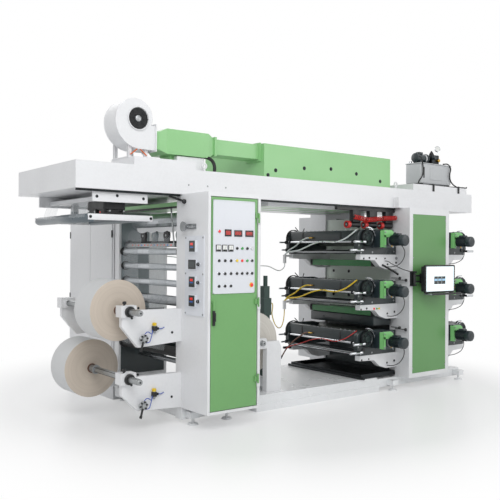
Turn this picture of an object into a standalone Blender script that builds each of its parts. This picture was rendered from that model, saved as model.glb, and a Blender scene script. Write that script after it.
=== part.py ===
# Flexographic printing press, stack type, six colours, with reel unwinds on the left,
# an overhead beam with the drying hood, and the print tower on the right.
# Metres, +Z up. X runs along the machine, -Y is the operator's side, Z = 0 is the floor.

import math

import bmesh
import bpy
from mathutils import Matrix, Vector

# Driving sizes. Positions are measured from the beam's left end, its front face and the floor.
gap = 0.0003
running_gap = 0.0005

beam_length = 5.70
beam_depth = 1.39
beam_bottom = 2.207
beam_top = 2.45
top_box_height = 0.08

left_tower_x = 1.09
left_tower_width = 0.61
side_plate = 0.10
cabinet_reach = 0.44
cabinet_bottom = 0.162
cabinet_wall = 0.03
door_gap = 0.006
hinge_edge_gap = 0.012
door_thickness = 0.02
panel_lift = 0.008
handle_depth = 0.022
knuckle_radius = 0.009
pin_radius = 0.005
rear_cabinet_gap = 0.03
rear_cabinet_depth = 1.18
rear_cabinet_height = 2.20

right_tower_x = 4.198
right_tower_width = 0.764
right_tower_reach = 0.186
right_tower_bottom = 0.146
right_tower_back = 0.12
drive_cover_depth = 0.26
cover_margin = 0.062
cover_recess = 0.012

plinth_x = 2.02
plinth_length = 1.83
plinth_height = 0.165
plinth_ledge = 0.075
rail_bottom = 0.045
rail_width = 0.12
rail_end = 5.43
foot_radius = 0.055
foot_height = 0.016
foot_reach = 0.055

roll_radius = 0.285
roll_width = 0.345
shaft_radius = 0.03
upper_roll_z = 1.107
lower_roll_z = 0.497
unwind_x = 0.515
arm_plate = 0.05
bearing_side = 0.03

rewind_x = 2.16
rewind_z = 0.69
rewind_radius = 0.32
rewind_face_y = 0.24
lift_x = 2.69
lift_y = 0.72
lift_block = 0.055

journal_radius = 0.02
roller_clear = 0.006

unit_top_z = 1.825
unit_pitch = 0.595
unit_plate = 0.06
unit_tuck = 0.01
unit_reach_left = 0.70
unit_reach_right = 0.62
unit_low = 0.187
unit_high = 0.105
end_cover_radius = 0.102
end_cover_inset = 0.145
end_cover_lift = 0.010
anilox_radius = 0.058
guard_reach = 0.026
cylinder_radius = 0.085
cylinder_offset = 0.125
left_drive_offset = 0.363
right_drive_offset = 0.208
gearbox_width = 0.19
gearbox_depth = 0.17
motor_radius = 0.068
motor_length = 0.24
bracket_plate = 0.08

hood_x = 2.13
hood_length = 1.98
hood_front = 0.05
hood_depth = 1.10
hood_top = 2.805
duct_front = 0.10
duct_low = 2.595
wide_x = (0.975, 1.455)

blower_x = 0.67
blower_z = 2.90
blower_front = 0.12
blower_width = 0.24
volute_start = 0.150
volute_end = 0.280
outlet_x = 0.86
outlet_high = 2.85
inlet_radius = 0.105

screen_front = -0.345
screen_low = 1.175
screen_height = 0.34
screen_left = 4.30
screen_width = 0.58
swivel_radius = 0.008

unit_width = beam_depth - right_tower_back + unit_tuck
origin_x = beam_length / 2
front_most = -(cabinet_reach + handle_depth)
rear_most = beam_depth + rear_cabinet_gap + rear_cabinet_depth
origin_y = (front_most + rear_most) / 2


# Collections and materials.

for old in list(bpy.data.objects):
    bpy.data.objects.remove(old, do_unlink=True)

press = bpy.data.collections.new("flexographic_printing_press")
helpers = bpy.data.collections.new("cutters_and_joined_shapes")
bpy.context.scene.collection.children.link(press)
bpy.context.scene.collection.children.link(helpers)


def material(name, colour, roughness, metallic=0.0):
    made = bpy.data.materials.new(name)
    made.use_nodes = True
    shader = made.node_tree.nodes["Principled BSDF"]
    shader.inputs["Base Color"].default_value = (*colour, 1.0)
    shader.inputs["Roughness"].default_value = roughness
    shader.inputs["Metallic"].default_value = metallic
    return made


white_paint = material("white_paint", (0.80, 0.81, 0.82), 0.45)
green_paint = material("green_paint", (0.17, 0.39, 0.14), 0.45)
duct_green = material("duct_green", (0.33, 0.60, 0.30), 0.45)
dark_green = material("dark_green", (0.012, 0.10, 0.027), 0.5)
slate_paint = material("slate_paint", (0.024, 0.042, 0.047), 0.5)
steel = material("steel", (0.45, 0.47, 0.49), 0.3, 1.0)
black_plastic = material("black_plastic", (0.012, 0.012, 0.013), 0.5)
grey_paint = material("grey_paint", (0.60, 0.61, 0.62), 0.5)
paper = material("paper", (0.65, 0.58, 0.51), 0.8)
panel_grey = material("panel_grey", (0.72, 0.73, 0.74), 0.5)
yellow_plastic = material("yellow_plastic", (0.72, 0.50, 0.03), 0.4)
white_plastic = material("white_plastic", (0.70, 0.73, 0.72), 0.4)


# Shapes. Each takes positions in machine measure and lands about the plan centre.

def moved(point):
    return Vector((point[0] - origin_x, point[1] - origin_y, point[2]))


def mesh_object(name, mesh_maker, matrix):
    mesh = bpy.data.meshes.new(name)
    work = bmesh.new()
    mesh_maker(work)
    work.to_mesh(mesh)
    work.free()
    made = bpy.data.objects.new(name, mesh)
    made.matrix_world = matrix
    helpers.objects.link(made)
    return made


def box(low, high):
    size = [high[i] - low[i] for i in range(3)]
    middle = [(high[i] + low[i]) / 2 for i in range(3)]

    def maker(work):
        bmesh.ops.create_cube(work, size=1.0)
        bmesh.ops.scale(work, vec=size, verts=work.verts)

    return mesh_object("box", maker, Matrix.Translation(moved(middle)))


def rod(start, end, radius, end_radius=None, sides=24):
    first = moved(start)
    last = moved(end)
    along = last - first
    turn = Vector((0, 0, 1)).rotation_difference(along)
    far_radius = radius if end_radius is None else end_radius

    def maker(work):
        bmesh.ops.create_cone(
            work,
            cap_ends=True,
            segments=sides,
            radius1=radius,
            radius2=far_radius,
            depth=along.length,
        )

    matrix = Matrix.Translation((first + last) / 2) @ turn.to_matrix().to_4x4()
    return mesh_object("rod", maker, matrix)


def baked(source):
    graph = bpy.context.evaluated_depsgraph_get()
    mesh = bpy.data.meshes.new_from_object(source.evaluated_get(graph))
    work = bmesh.new()
    work.from_mesh(mesh)
    bmesh.ops.remove_doubles(work, verts=work.verts, dist=0.00005)
    bmesh.ops.recalc_face_normals(work, faces=work.faces)
    work.to_mesh(mesh)
    work.free()
    made = bpy.data.objects.new(source.name, mesh)
    made.matrix_world = source.matrix_world.copy()
    helpers.objects.link(made)
    bpy.data.objects.remove(source, do_unlink=True)
    return made


def outline_curve(points, thickness):
    curve = bpy.data.curves.new("outline", "CURVE")
    curve.dimensions = "2D"
    curve.fill_mode = "BOTH"
    curve.extrude = thickness / 2
    spline = curve.splines.new("POLY")
    spline.points.add(len(points) - 1)
    for corner, (x, z) in zip(spline.points, points):
        corner.co = (x, z, 0.0, 1.0)
    spline.use_cyclic_u = True
    made = bpy.data.objects.new("outline", curve)
    helpers.objects.link(made)
    return made


# An outline in X and Z, from y_low to y_high.
def plate(points, y_low, y_high):
    made = outline_curve(points, y_high - y_low)
    made.matrix_world = Matrix.Translation(
        moved((0, (y_low + y_high) / 2, 0))
    ) @ Matrix.Rotation(math.pi / 2, 4, "X")
    bpy.context.view_layer.update()
    return baked(made)


# A ring or a stepped body turned about an axis that runs along Y.
# The profile holds (radius, distance) pairs, from the far end down to the near end.
def turned(profile, x, y, z, sides=40, ring=False):
    mesh = bpy.data.meshes.new("turned")
    points = [(radius, 0.0, distance) for radius, distance in profile]
    edges = [(i, i + 1) for i in range(len(points) - 1)]
    if ring:
        edges.append((len(points) - 1, 0))
    mesh.from_pydata(points, edges, [])
    made = bpy.data.objects.new("turned", mesh)
    made.matrix_world = Matrix.Translation(moved((x, y, z))) @ Matrix.Rotation(-math.pi / 2, 4, "X")
    helpers.objects.link(made)
    screw = made.modifiers.new("turn", "SCREW")
    screw.steps = sides
    screw.render_steps = sides
    screw.use_merge_vertices = True
    screw.merge_threshold = 0.00005
    bpy.context.view_layer.update()
    return baked(made)


def boolean(target, other, operation):
    modifier = target.modifiers.new(operation.lower(), "BOOLEAN")
    modifier.operation = operation
    modifier.solver = "EXACT"
    modifier.object = other
    other.hide_render = True
    other.display_type = "WIRE"


# A straight transition between two upright rectangles that face along X.
# Each rectangle is (x, y_low, y_high, z_low, z_high).
def transition(first, second):
    corners = []
    for x, y_low, y_high, z_low, z_high in (first, second):
        corners += [
            moved((x, y_low, z_low)),
            moved((x, y_high, z_low)),
            moved((x, y_high, z_high)),
            moved((x, y_low, z_high)),
        ]
    faces = [(3, 2, 1, 0), (4, 5, 6, 7)]
    for side in range(4):
        after = (side + 1) % 4
        faces.append((side, after, after + 4, side + 4))
    mesh = bpy.data.meshes.new("transition")
    mesh.from_pydata(corners, [], faces)
    work = bmesh.new()
    work.from_mesh(mesh)
    bmesh.ops.recalc_face_normals(work, faces=work.faces)
    work.to_mesh(mesh)
    work.free()
    made = bpy.data.objects.new("transition", mesh)
    helpers.objects.link(made)
    return made


# The finished piece: a first shape, with others joined to it and others cut out of it.
def piece(name, finish, body, joined=(), cut=()):
    body.name = name
    body.data.name = name
    helpers.objects.unlink(body)
    press.objects.link(body)
    body.data.materials.clear()
    body.data.materials.append(finish)
    for number, shape in enumerate(joined):
        shape.name = f"{name}_joined_{number + 1}"
        boolean(body, shape, "UNION")
    for number, shape in enumerate(cut):
        shape.name = f"{name}_cut_{number + 1}"
        boolean(body, shape, "DIFFERENCE")
    return body


def pivot(name, point, children):
    empty = bpy.data.objects.new(name, None)
    empty.matrix_world = Matrix.Translation(moved(point))
    press.objects.link(empty)
    for child in children:
        place = child.matrix_world.copy()
        child.parent = empty
        child.matrix_parent_inverse = Matrix.Translation(-moved(point))
        child.matrix_basis = place
    return empty


def foot(x, y, top):
    return [
        rod((x, y, 0), (x, y, foot_height), foot_radius, foot_radius * 0.8, sides=16),
        rod((x, y, foot_height - 0.002), (x, y, top + 0.01), 0.014, sides=12),
    ]


# Base frame: a deck plinth in the open bay and two long rails on levelling feet.

left_tower_end = left_tower_x + left_tower_width
rear_plate_y = beam_depth - side_plate
rail_top = right_tower_bottom - gap
rail_start = left_tower_x + 0.01
plinth_end = plinth_x + plinth_length
rail_rear = beam_depth - rail_width
cross_low = rail_bottom + 0.01
cross_high = rail_top - 0.01
lug_low = rail_bottom + 0.02
lug_high = rail_top - 0.02


def foot_lug(x, y_from, y_to, y_foot):
    return [
        box((x - 0.05, y_from, lug_low), (x + 0.05, y_to, lug_high)),
        *foot(x, y_foot, lug_low),
    ]


base_shapes = [
    box((rail_start, 0, rail_bottom), (rail_end, rail_width, rail_top)),
    box((rail_start, rail_rear, rail_bottom), (rail_end, beam_depth, rail_top)),
    box(
        (rail_end - 0.10, rail_width - 0.01, cross_low),
        (rail_end - 0.02, rail_rear + 0.01, cross_high),
    ),
    box(
        (rail_start + 0.01, rail_width - 0.01, cross_low),
        (rail_start + 0.09, rail_rear + 0.01, cross_high),
    ),
    box((plinth_x - 0.02, -0.012, 0), (plinth_end + 0.02, beam_depth + 0.012, plinth_ledge)),
]
for foot_x in (1.19, 1.59):
    base_shapes += foot_lug(foot_x, -2 * foot_reach + 0.01, 0.01, -foot_reach)
    base_shapes += foot(foot_x, beam_depth - rail_width / 2, rail_bottom)
for foot_x in (4.06, rail_end - 0.08):
    base_shapes += foot_lug(foot_x, -2 * foot_reach + 0.01, 0.01, -foot_reach)
    base_shapes += foot_lug(
        foot_x,
        beam_depth - 0.01,
        beam_depth + 2 * foot_reach - 0.01,
        beam_depth + foot_reach,
    )
base_frame = piece(
    "base_frame",
    white_paint,
    box((plinth_x, 0.004, 0), (plinth_end, beam_depth - 0.004, plinth_height)),
    joined=base_shapes,
)


# Left tower: two side plates on the base rails, with bores for the web rollers.

roller_list = [
    ("web_roller_1", 1.15, 1.656, 0.034),
    ("web_roller_2", 1.16, 1.500, 0.034),
    ("web_roller_3", 1.17, 1.338, 0.034),
    ("tension_roller", 1.18, 1.165, 0.050),
    ("nip_roller", 1.16, 0.665, 0.050),
    ("chill_roller", 1.32, 1.975, 0.085),
]

frame_bottom = rail_top + gap
frame_top = beam_bottom - gap


def journal_bores(y_low, y_high):
    return [
        rod((x, y_low, z), (x, y_high, z), journal_radius + running_gap, sides=20)
        for _, x, z, _ in roller_list
    ]


def tower_plate(name, y_low, y_high, bore_y, fittings=()):
    return piece(
        name,
        white_paint,
        box((left_tower_x, y_low, frame_bottom), (left_tower_end, y_high, frame_top)),
        joined=fittings,
        cut=journal_bores(bore_y - 0.05, bore_y + 0.05),
    )


gland_x = left_tower_end + 0.02
gland_y = beam_depth - side_plate / 2
gland_z = 1.60
gland = rod((left_tower_end - 0.01, gland_y, gland_z), (gland_x, gland_y, gland_z), 0.012, sides=12)
left_front_frame = tower_plate("left_front_frame", 0, side_plate, side_plate)
left_rear_frame = tower_plate("left_rear_frame", rear_plate_y, beam_depth, rear_plate_y, [gland])

for name, x, z, radius in roller_list:
    length = rear_plate_y - side_plate
    body = turned(
        [
            (0, length + 0.03),
            (journal_radius, length + 0.03),
            (journal_radius, length - roller_clear),
            (radius, length - roller_clear),
            (radius, roller_clear),
            (journal_radius, roller_clear),
            (journal_radius, -0.03),
            (0, -0.03),
        ],
        x,
        side_plate,
        z,
        sides=20,
    )
    piece(name, steel, body)
    pivot(f"{name}_axis", (x, side_plate, z), [body])


# Unwind arms: stepped plates on the left tower, each with a bearing block at its head.

def arm_outline(z_top, z_under, x_head, z_head_low, z_toe, z_heel):
    return [
        (left_tower_x - gap, z_top),
        (0.583, z_top + 0.006),
        (0.583, z_head_low + 0.02),
        (x_head + 0.02, z_head_low + 0.02),
        (x_head + 0.02, z_toe),
        (0.620, z_heel),
        (left_tower_x - gap, z_under),
    ]


# The round brake on a front arm, and the pressure regulator with its knob beside it.
def arm_fittings(head_z):
    brake_z = head_z - 0.256
    regulator_z = head_z - 0.166
    return [
        rod((0.661, arm_front - 0.026, brake_z), (0.661, arm_front + 0.01, brake_z), 0.034, sides=20),
        box((0.764, arm_front - 0.030, regulator_z - 0.022), (0.804, arm_front + 0.01, regulator_z + 0.018)),
        rod(
            (0.784, arm_front - 0.015, regulator_z - 0.040),
            (0.784, arm_front - 0.015, regulator_z + 0.036),
            0.012,
            sides=12,
        ),
    ]


def unwind_arm(name, y_low, y_high, head_z, outline, fittings=()):
    head = box(
        (0.433, y_low - bearing_side, head_z - 0.050),
        (0.588, y_high + bearing_side, head_z + 0.056),
    )
    bore = rod(
        (unwind_x, y_low - 0.2, head_z),
        (unwind_x, y_high + 0.2, head_z),
        shaft_radius + running_gap,
        sides=24,
    )
    cap = rod(
        (unwind_x, y_low - bearing_side - 0.008, head_z),
        (unwind_x, y_high + bearing_side + 0.008, head_z),
        0.046,
        sides=24,
    )
    return piece(
        name,
        white_paint,
        plate(outline, y_low, y_high),
        joined=[head, cap, *fittings],
        cut=[bore],
    )


upper_outline = arm_outline(1.112, 0.800, 0.433, upper_roll_z - 0.05, 0.969, 0.771)
lower_outline = arm_outline(0.502, 0.169, 0.437, lower_roll_z - 0.05, 0.347, 0.192)
arm_front = 0.0
arm_rear = beam_depth - arm_plate
unwind_arm(
    "upper_front_arm",
    arm_front,
    arm_front + arm_plate,
    upper_roll_z,
    upper_outline,
    arm_fittings(upper_roll_z),
)
unwind_arm("upper_rear_arm", arm_rear, arm_rear + arm_plate, upper_roll_z, upper_outline)
unwind_arm(
    "lower_front_arm",
    arm_front,
    arm_front + arm_plate,
    lower_roll_z,
    lower_outline,
    arm_fittings(lower_roll_z),
)
unwind_arm("lower_rear_arm", arm_rear, arm_rear + arm_plate, lower_roll_z, lower_outline)


# Reels: a shaft through both bearing blocks with a wound roll on it.

def reel(name, roll_y, z):
    near = -0.24
    far = beam_depth + 0.10
    shaft = turned(
        [
            (0, far - near),
            (shaft_radius, far - near),
            (shaft_radius, 0.0),
            (0, 0.0),
        ],
        unwind_x,
        near,
        z,
        sides=24,
    )
    inner = shaft_radius + gap
    roll = turned(
        [
            (inner, roll_width),
            (roll_radius, roll_width),
            (roll_radius, 0.0),
            (inner, 0.0),
        ],
        unwind_x,
        roll_y,
        z,
        sides=48,
        ring=True,
    )
    piece(f"{name}_shaft", steel, shaft)
    piece(f"{name}_roll", paper, roll)
    pivot(f"{name}_axis", (unwind_x, roll_y, z), [shaft, roll])


reel("upper_unwind", 0.185, upper_roll_z)
reel("lower_unwind", 0.74, lower_roll_z)


# Control cabinet on the front of the left tower: a hollow case with a full height door
# on three barrel hinges.

cabinet_front = -cabinet_reach
cabinet_back = -gap
cabinet_top = beam_bottom - gap
opening_x = (left_tower_x + cabinet_wall, left_tower_end - cabinet_wall)
opening_z = (cabinet_bottom + 0.026, 2.167)
door_x = (opening_x[0] + door_gap, opening_x[1] - hinge_edge_gap)
door_z = (opening_z[0] + door_gap, opening_z[1] - door_gap)
hinge_x = opening_x[1] - door_gap
hinge_y = cabinet_front - knuckle_radius - 0.001
knuckle_length = 0.05
hinge_levels = (0.42, 1.16, 1.98)

fixed_knuckles = []
door_knuckles = []
pin_bores = []
for level in hinge_levels:
    low = level - knuckle_length
    high = level + knuckle_length
    fixed_knuckles += [
        rod((hinge_x, hinge_y, low), (hinge_x, hinge_y, level), knuckle_radius, sides=16),
        box(
            (hinge_x, hinge_y - knuckle_radius / 2, low),
            (hinge_x + 0.028, cabinet_front + 0.005, level),
        ),
        rod((hinge_x, hinge_y, level - 0.01), (hinge_x, hinge_y, high - 0.01), pin_radius, sides=12),
    ]
    door_knuckles += [
        rod((hinge_x, hinge_y, level + gap), (hinge_x, hinge_y, high), knuckle_radius, sides=16),
        box(
            (hinge_x - 0.035, hinge_y - knuckle_radius / 2, level + gap),
            (hinge_x, cabinet_front + 0.005, high),
        ),
    ]
    pin_bores.append(
        rod(
            (hinge_x, hinge_y, level - 0.02),
            (hinge_x, hinge_y, high - 0.005),
            pin_radius + running_gap,
            sides=12,
        )
    )

control_cabinet = piece(
    "control_cabinet",
    white_paint,
    box((left_tower_x, cabinet_front, cabinet_bottom), (left_tower_end, cabinet_back, cabinet_top)),
    joined=fixed_knuckles,
    cut=[
        box(
            (opening_x[0], cabinet_front - 0.002, opening_z[0]),
            (opening_x[1], cabinet_back - 0.02, opening_z[1]),
        ),
    ],
)

panel_x = (1.140, 1.622)
panel_z = (1.27, 2.135)
handle_x = door_x[0] + 0.022
cabinet_door = piece(
    "cabinet_door",
    green_paint,
    box((door_x[0], cabinet_front, door_z[0]), (door_x[1], cabinet_front + door_thickness, door_z[1])),
    joined=[
        *door_knuckles,
        rod(
            (handle_x, cabinet_front - 0.010, 1.195),
            (handle_x, cabinet_front + 0.01, 1.195),
            0.020,
            sides=16,
        ),
        box((handle_x - 0.010, front_most, 1.060), (handle_x + 0.010, cabinet_front - 0.008, 1.205)),
    ],
    cut=pin_bores,
)


# Lamps, meters and push buttons stand on the instrument panel in rows.

def button(x, z, radius, lift, sides=10):
    face = cabinet_front - panel_lift
    return rod((x, face - lift, z), (x, face + 0.004, z), radius, radius, sides=sides)


def meter(x_low, x_high, z_low, z_high, lift):
    face = cabinet_front - panel_lift
    return box((x_low, face - lift, z_low), (x_high, face + 0.004, z_high))


panel_face = cabinet_front - panel_lift
button_rows = [
    (1.690, (1.412, 1.472, 1.532, 1.590)),
    (1.575, (1.207, 1.275, 1.342, 1.412, 1.472, 1.532, 1.590)),
    (1.455, (1.207, 1.275, 1.342, 1.412, 1.472, 1.532, 1.590)),
    (1.340, (1.207, 1.275, 1.342)),
]
panel_controls = [
    button(1.207, 1.845, 0.014, 0.010),
    button(1.584, 1.345, 0.024, 0.012, sides=16),
    meter(1.270, 1.345, 1.800, 1.865, 0.006),
    meter(1.378, 1.470, 1.800, 1.860, 0.006),
    meter(1.508, 1.602, 1.800, 1.860, 0.006),
    meter(1.170, 1.228, 1.660, 1.722, 0.008),
    meter(1.240, 1.298, 1.660, 1.722, 0.008),
    meter(1.310, 1.368, 1.660, 1.722, 0.008),
]
for row_z, row_x in button_rows:
    panel_controls += [button(x, row_z, 0.013, 0.010) for x in row_x]
instrument_panel = piece(
    "instrument_panel",
    panel_grey,
    box((panel_x[0], panel_face, panel_z[0]), (panel_x[1], cabinet_front - gap, panel_z[1])),
    joined=panel_controls,
)
pivot("cabinet_door_axis", (hinge_x, hinge_y, 1.2), [cabinet_door, instrument_panel])


# Tension panel on the cabinet's left face, with its controllers, meter and knobs, and the
# handwheel and the T knob above it.

tension_face = left_tower_x - gap
panel_outer = tension_face - 0.010
tension_shapes = [
    box((panel_outer - 0.022, -0.275, 1.650), (tension_face - 0.002, -0.165, 1.765)),
    box((panel_outer - 0.022, -0.275, 1.320), (tension_face - 0.002, -0.165, 1.430)),
    box((panel_outer - 0.022, -0.275, 1.142), (tension_face - 0.002, -0.165, 1.255)),
    box((panel_outer - 0.016, -0.280, 1.490), (tension_face - 0.002, -0.145, 1.585)),
]
for knob_z in (1.540, 1.372, 1.198):
    tension_shapes.append(
        rod(
            (panel_outer - 0.028, -0.320, knob_z),
            (tension_face - 0.002, -0.320, knob_z),
            0.014,
            sides=12,
        ),
    )
tension_panel = piece(
    "tension_panel",
    panel_grey,
    box((panel_outer, -0.385, 1.060), (tension_face, -0.068, 1.805)),
    joined=tension_shapes,
)
guide_knobs = piece(
    "guide_knobs",
    grey_paint,
    box((tension_face - 0.006, -0.245, 1.868), (tension_face, -0.055, 1.918)),
    joined=[
        rod(
            (tension_face - 0.045, -0.10, 1.893),
            (tension_face - 0.002, -0.10, 1.893),
            0.014,
            sides=12,
        ),
        rod(
            (tension_face - 0.060, -0.10, 1.893),
            (tension_face - 0.038, -0.10, 1.893),
            0.048,
            0.040,
            sides=24,
        ),
        rod(
            (tension_face - 0.040, -0.215, 1.887),
            (tension_face - 0.002, -0.215, 1.887),
            0.010,
            sides=12,
        ),
        box((tension_face - 0.052, -0.245, 1.875), (tension_face - 0.036, -0.185, 1.899)),
    ],
)


# Rear cabinet behind the left tower.

rear_cabinet_y = beam_depth + rear_cabinet_gap
rear_cabinet = piece(
    "rear_cabinet",
    white_paint,
    box((left_tower_x, rear_cabinet_y, 0), (left_tower_end, rear_most, rear_cabinet_height)),
    joined=[
        box(
            (left_tower_x + 0.1, beam_depth + gap, rear_cabinet_height - 0.30),
            (left_tower_end - 0.1, rear_cabinet_y + 0.02, rear_cabinet_height - 0.10),
        ),
    ],
)


# Overhead beam with its raised boxes, and the head cover over the right tower.

box_top = beam_top + top_box_height
left_box_x = (blower_x - 0.095, wide_x[1] - 0.205)
right_box_x = (beam_length - 1.20, beam_length - 0.10)
head_cover = (right_tower_x - 0.068, right_tower_x + right_tower_width + 0.028)
overhead_beam = piece(
    "overhead_beam",
    white_paint,
    box((0, 0, beam_bottom), (beam_length, beam_depth, beam_top)),
    joined=[
        box((head_cover[0], -0.07, beam_bottom), (head_cover[1], 0.02, beam_bottom + 0.126)),
        box((left_box_x[0], 0.012, beam_top - 0.01), (left_box_x[1], 0.47, box_top)),
        box((right_box_x[0], 0.012, beam_top - 0.01), (right_box_x[1], 0.80, box_top)),
    ],
)


# Left blower: a volute whose radius grows round the turn until it leaves by the outlet.

def volute(x, z, start_angle, end_angle, steps):
    points = []
    for step in range(steps + 1):
        share = step / steps
        angle = math.radians(start_angle + (end_angle - start_angle) * share)
        radius = volute_start + (volute_end - volute_start) * share**1.4
        points.append((x + radius * math.cos(angle), z + radius * math.sin(angle)))
    return points


blower_back = blower_front + blower_width
stand_low = box_top + gap
stand_x = (blower_x - 0.07, blower_x + 0.10)
stand_rear = blower_back + 0.07
motor_back = blower_back + 0.22
outlet_low = blower_z - volute_end


def leg(x, y, top):
    return box((x - 0.02, y - 0.02, stand_low + 0.005), (x + 0.02, y + 0.02, top))


left_blower = piece(
    "left_blower",
    white_paint,
    plate(
        [
            *volute(blower_x, blower_z, -20, 270, 30),
            (outlet_x, outlet_low),
            (outlet_x, outlet_high),
        ],
        blower_front,
        blower_back,
    ),
    joined=[
        rod(
            (blower_x, blower_front - 0.02, blower_z),
            (blower_x, blower_front + 0.05, blower_z),
            inlet_radius,
            sides=28,
        ),
        rod(
            (blower_x, blower_back - 0.05, blower_z),
            (blower_x, motor_back, blower_z),
            0.085,
            sides=24,
        ),
        box(
            (outlet_x - 0.008, blower_front - 0.018, outlet_low - 0.015),
            (outlet_x + 0.006, blower_back + 0.018, outlet_high + 0.02),
        ),
        *[leg(x, blower_front + 0.03, blower_z - 0.20) for x in stand_x],
        *[leg(x, stand_rear, blower_z - 0.06) for x in stand_x],
        box(
            (stand_x[0] - 0.01, stand_rear - 0.015, blower_z - 0.10),
            (stand_x[1] + 0.01, stand_rear + 0.015, blower_z - 0.065),
        ),
        box(
            (stand_x[0] - 0.03, blower_front, stand_low),
            (stand_x[1] + 0.03, stand_rear + 0.03, stand_low + 0.012),
        ),
    ],
    cut=[
        rod(
            (blower_x, blower_front - 0.06, blower_z),
            (blower_x, blower_front + 0.10, blower_z),
            inlet_radius - 0.015,
            sides=28,
        ),
    ],
)


# Air duct from the blower to the hood: a collar, a wide box, a taper with a flange, a narrow run.

duct_z = (duct_low, duct_low + 0.243)
collar_z = (duct_low + 0.040, duct_low + 0.210)
narrow_z = (duct_low + 0.045, duct_low + 0.200)
duct_back = duct_front + 0.30
narrow_y = (duct_front + 0.02, duct_front + 0.24)
collar_y = (duct_front + 0.04, duct_front + 0.26)
collar_x = outlet_x + 0.006 + gap
flange_x = wide_x[1] + 0.08
air_duct = piece(
    "air_duct",
    duct_green,
    box((wide_x[0], duct_front, duct_z[0]), (wide_x[1], duct_back, duct_z[1])),
    joined=[
        box((collar_x, collar_y[0], collar_z[0]), (collar_x + 0.045, collar_y[1], collar_z[1])),
        transition(
            (collar_x + 0.040, *collar_y, *collar_z),
            (wide_x[0] + 0.001, duct_front, duct_back, *duct_z),
        ),
        transition(
            (wide_x[1] - 0.001, duct_front, duct_back, *duct_z),
            (flange_x, *narrow_y, *narrow_z),
        ),
        box(
            (flange_x - 0.002, narrow_y[0] - 0.02, narrow_z[0] - 0.02),
            (flange_x + 0.022, narrow_y[1] + 0.02, narrow_z[1] + 0.02),
        ),
        box((flange_x, narrow_y[0], narrow_z[0]), (hood_x - gap, narrow_y[1], narrow_z[1])),
        box(
            (hood_x - 0.022, narrow_y[0] - 0.02, narrow_z[0] - 0.02),
            (hood_x - gap, narrow_y[1] + 0.02, narrow_z[1] + 0.02),
        ),
        box(
            (wide_x[0] + 0.075, duct_front + 0.08, box_top + gap),
            (wide_x[0] + 0.225, duct_back - 0.04, duct_z[0] + 0.01),
        ),
    ],
)


# Drying hood over the open bay.

hood_end = hood_x + hood_length
dryer_hood = piece(
    "dryer_hood",
    duct_green,
    box((hood_x, hood_front, beam_top + gap), (hood_end, hood_front + hood_depth, hood_top)),
)


# Right blower behind the hood, blowing into the hood's right end.

right_blower_x = hood_end + 0.29
right_blower_z = beam_top + 0.31
right_scroll = (0.80, 1.02)
right_blower = piece(
    "right_blower",
    white_paint,
    rod(
        (right_blower_x, right_scroll[0], right_blower_z),
        (right_blower_x, right_scroll[1], right_blower_z),
        0.215,
        sides=40,
    ),
    joined=[
        rod(
            (right_blower_x, right_scroll[0] - 0.24, right_blower_z),
            (right_blower_x, right_scroll[0] + 0.05, right_blower_z),
            0.080,
            sides=24,
        ),
        box(
            (right_blower_x - 0.05, right_scroll[0] - 0.17, right_blower_z + 0.06),
            (right_blower_x + 0.05, right_scroll[0] - 0.08, right_blower_z + 0.115),
        ),
        box(
            (right_blower_x - 0.10, right_scroll[0] - 0.22, beam_top + gap),
            (right_blower_x + 0.10, right_scroll[0] - 0.02, right_blower_z - 0.075),
        ),
        box(
            (right_blower_x - 0.14, right_scroll[0] + 0.02, beam_top + gap),
            (right_blower_x + 0.14, right_scroll[1] - 0.02, right_blower_z),
        ),
        box(
            (hood_end + gap, right_scroll[0] + 0.01, beam_top + 0.11),
            (right_blower_x, right_scroll[1] - 0.01, beam_top + 0.25),
        ),
    ],
)


# Power pack at the right end: a tank on feet, a lying motor with its pump, a valve block and a gauge.

tank_x = (beam_length - 0.70, beam_length - 0.04)
tank_y = (0.30, 0.56)
tank_z = (box_top + 0.065, box_top + 0.338)
pack_motor_z = tank_z[1] + 0.075
pack_motor_y = 0.43
pack_x = tank_x[0] + 0.05
power_pack = piece(
    "power_pack",
    grey_paint,
    box((tank_x[0], tank_y[0], tank_z[0]), (tank_x[1], tank_y[1], tank_z[1])),
    joined=[
        box(
            (tank_x[0] + 0.02, tank_y[0] + 0.02, box_top + gap),
            (tank_x[0] + 0.06, tank_y[1] - 0.02, tank_z[0] + 0.01),
        ),
        box(
            (tank_x[1] - 0.12, tank_y[0] + 0.02, box_top + gap),
            (tank_x[1] - 0.08, tank_y[1] - 0.02, tank_z[0] + 0.01),
        ),
        rod(
            (pack_x, pack_motor_y, pack_motor_z),
            (pack_x + 0.22, pack_motor_y, pack_motor_z),
            0.078,
            sides=24,
        ),
        rod(
            (pack_x + 0.21, pack_motor_y, pack_motor_z),
            (pack_x + 0.28, pack_motor_y, pack_motor_z),
            0.055,
            sides=20,
        ),
        box(
            (pack_x + 0.27, pack_motor_y - 0.07, tank_z[1] - 0.005),
            (pack_x + 0.42, pack_motor_y + 0.07, pack_motor_z + 0.065),
        ),
        rod(
            (pack_x + 0.34, pack_motor_y, pack_motor_z + 0.05),
            (pack_x + 0.34, pack_motor_y, pack_motor_z + 0.125),
            0.030,
            0.020,
            sides=16,
        ),
        rod(
            (pack_x + 0.42, pack_motor_y - 0.04, tank_z[1] - 0.01),
            (pack_x + 0.42, pack_motor_y - 0.04, pack_motor_z + 0.13),
            0.008,
            sides=10,
        ),
        rod(
            (pack_x + 0.42, pack_motor_y - 0.055, pack_motor_z + 0.15),
            (pack_x + 0.42, pack_motor_y - 0.025, pack_motor_z + 0.15),
            0.042,
            sides=20,
        ),
    ],
)


# Right tower: front and rear columns, with brackets that carry the print units.

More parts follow.
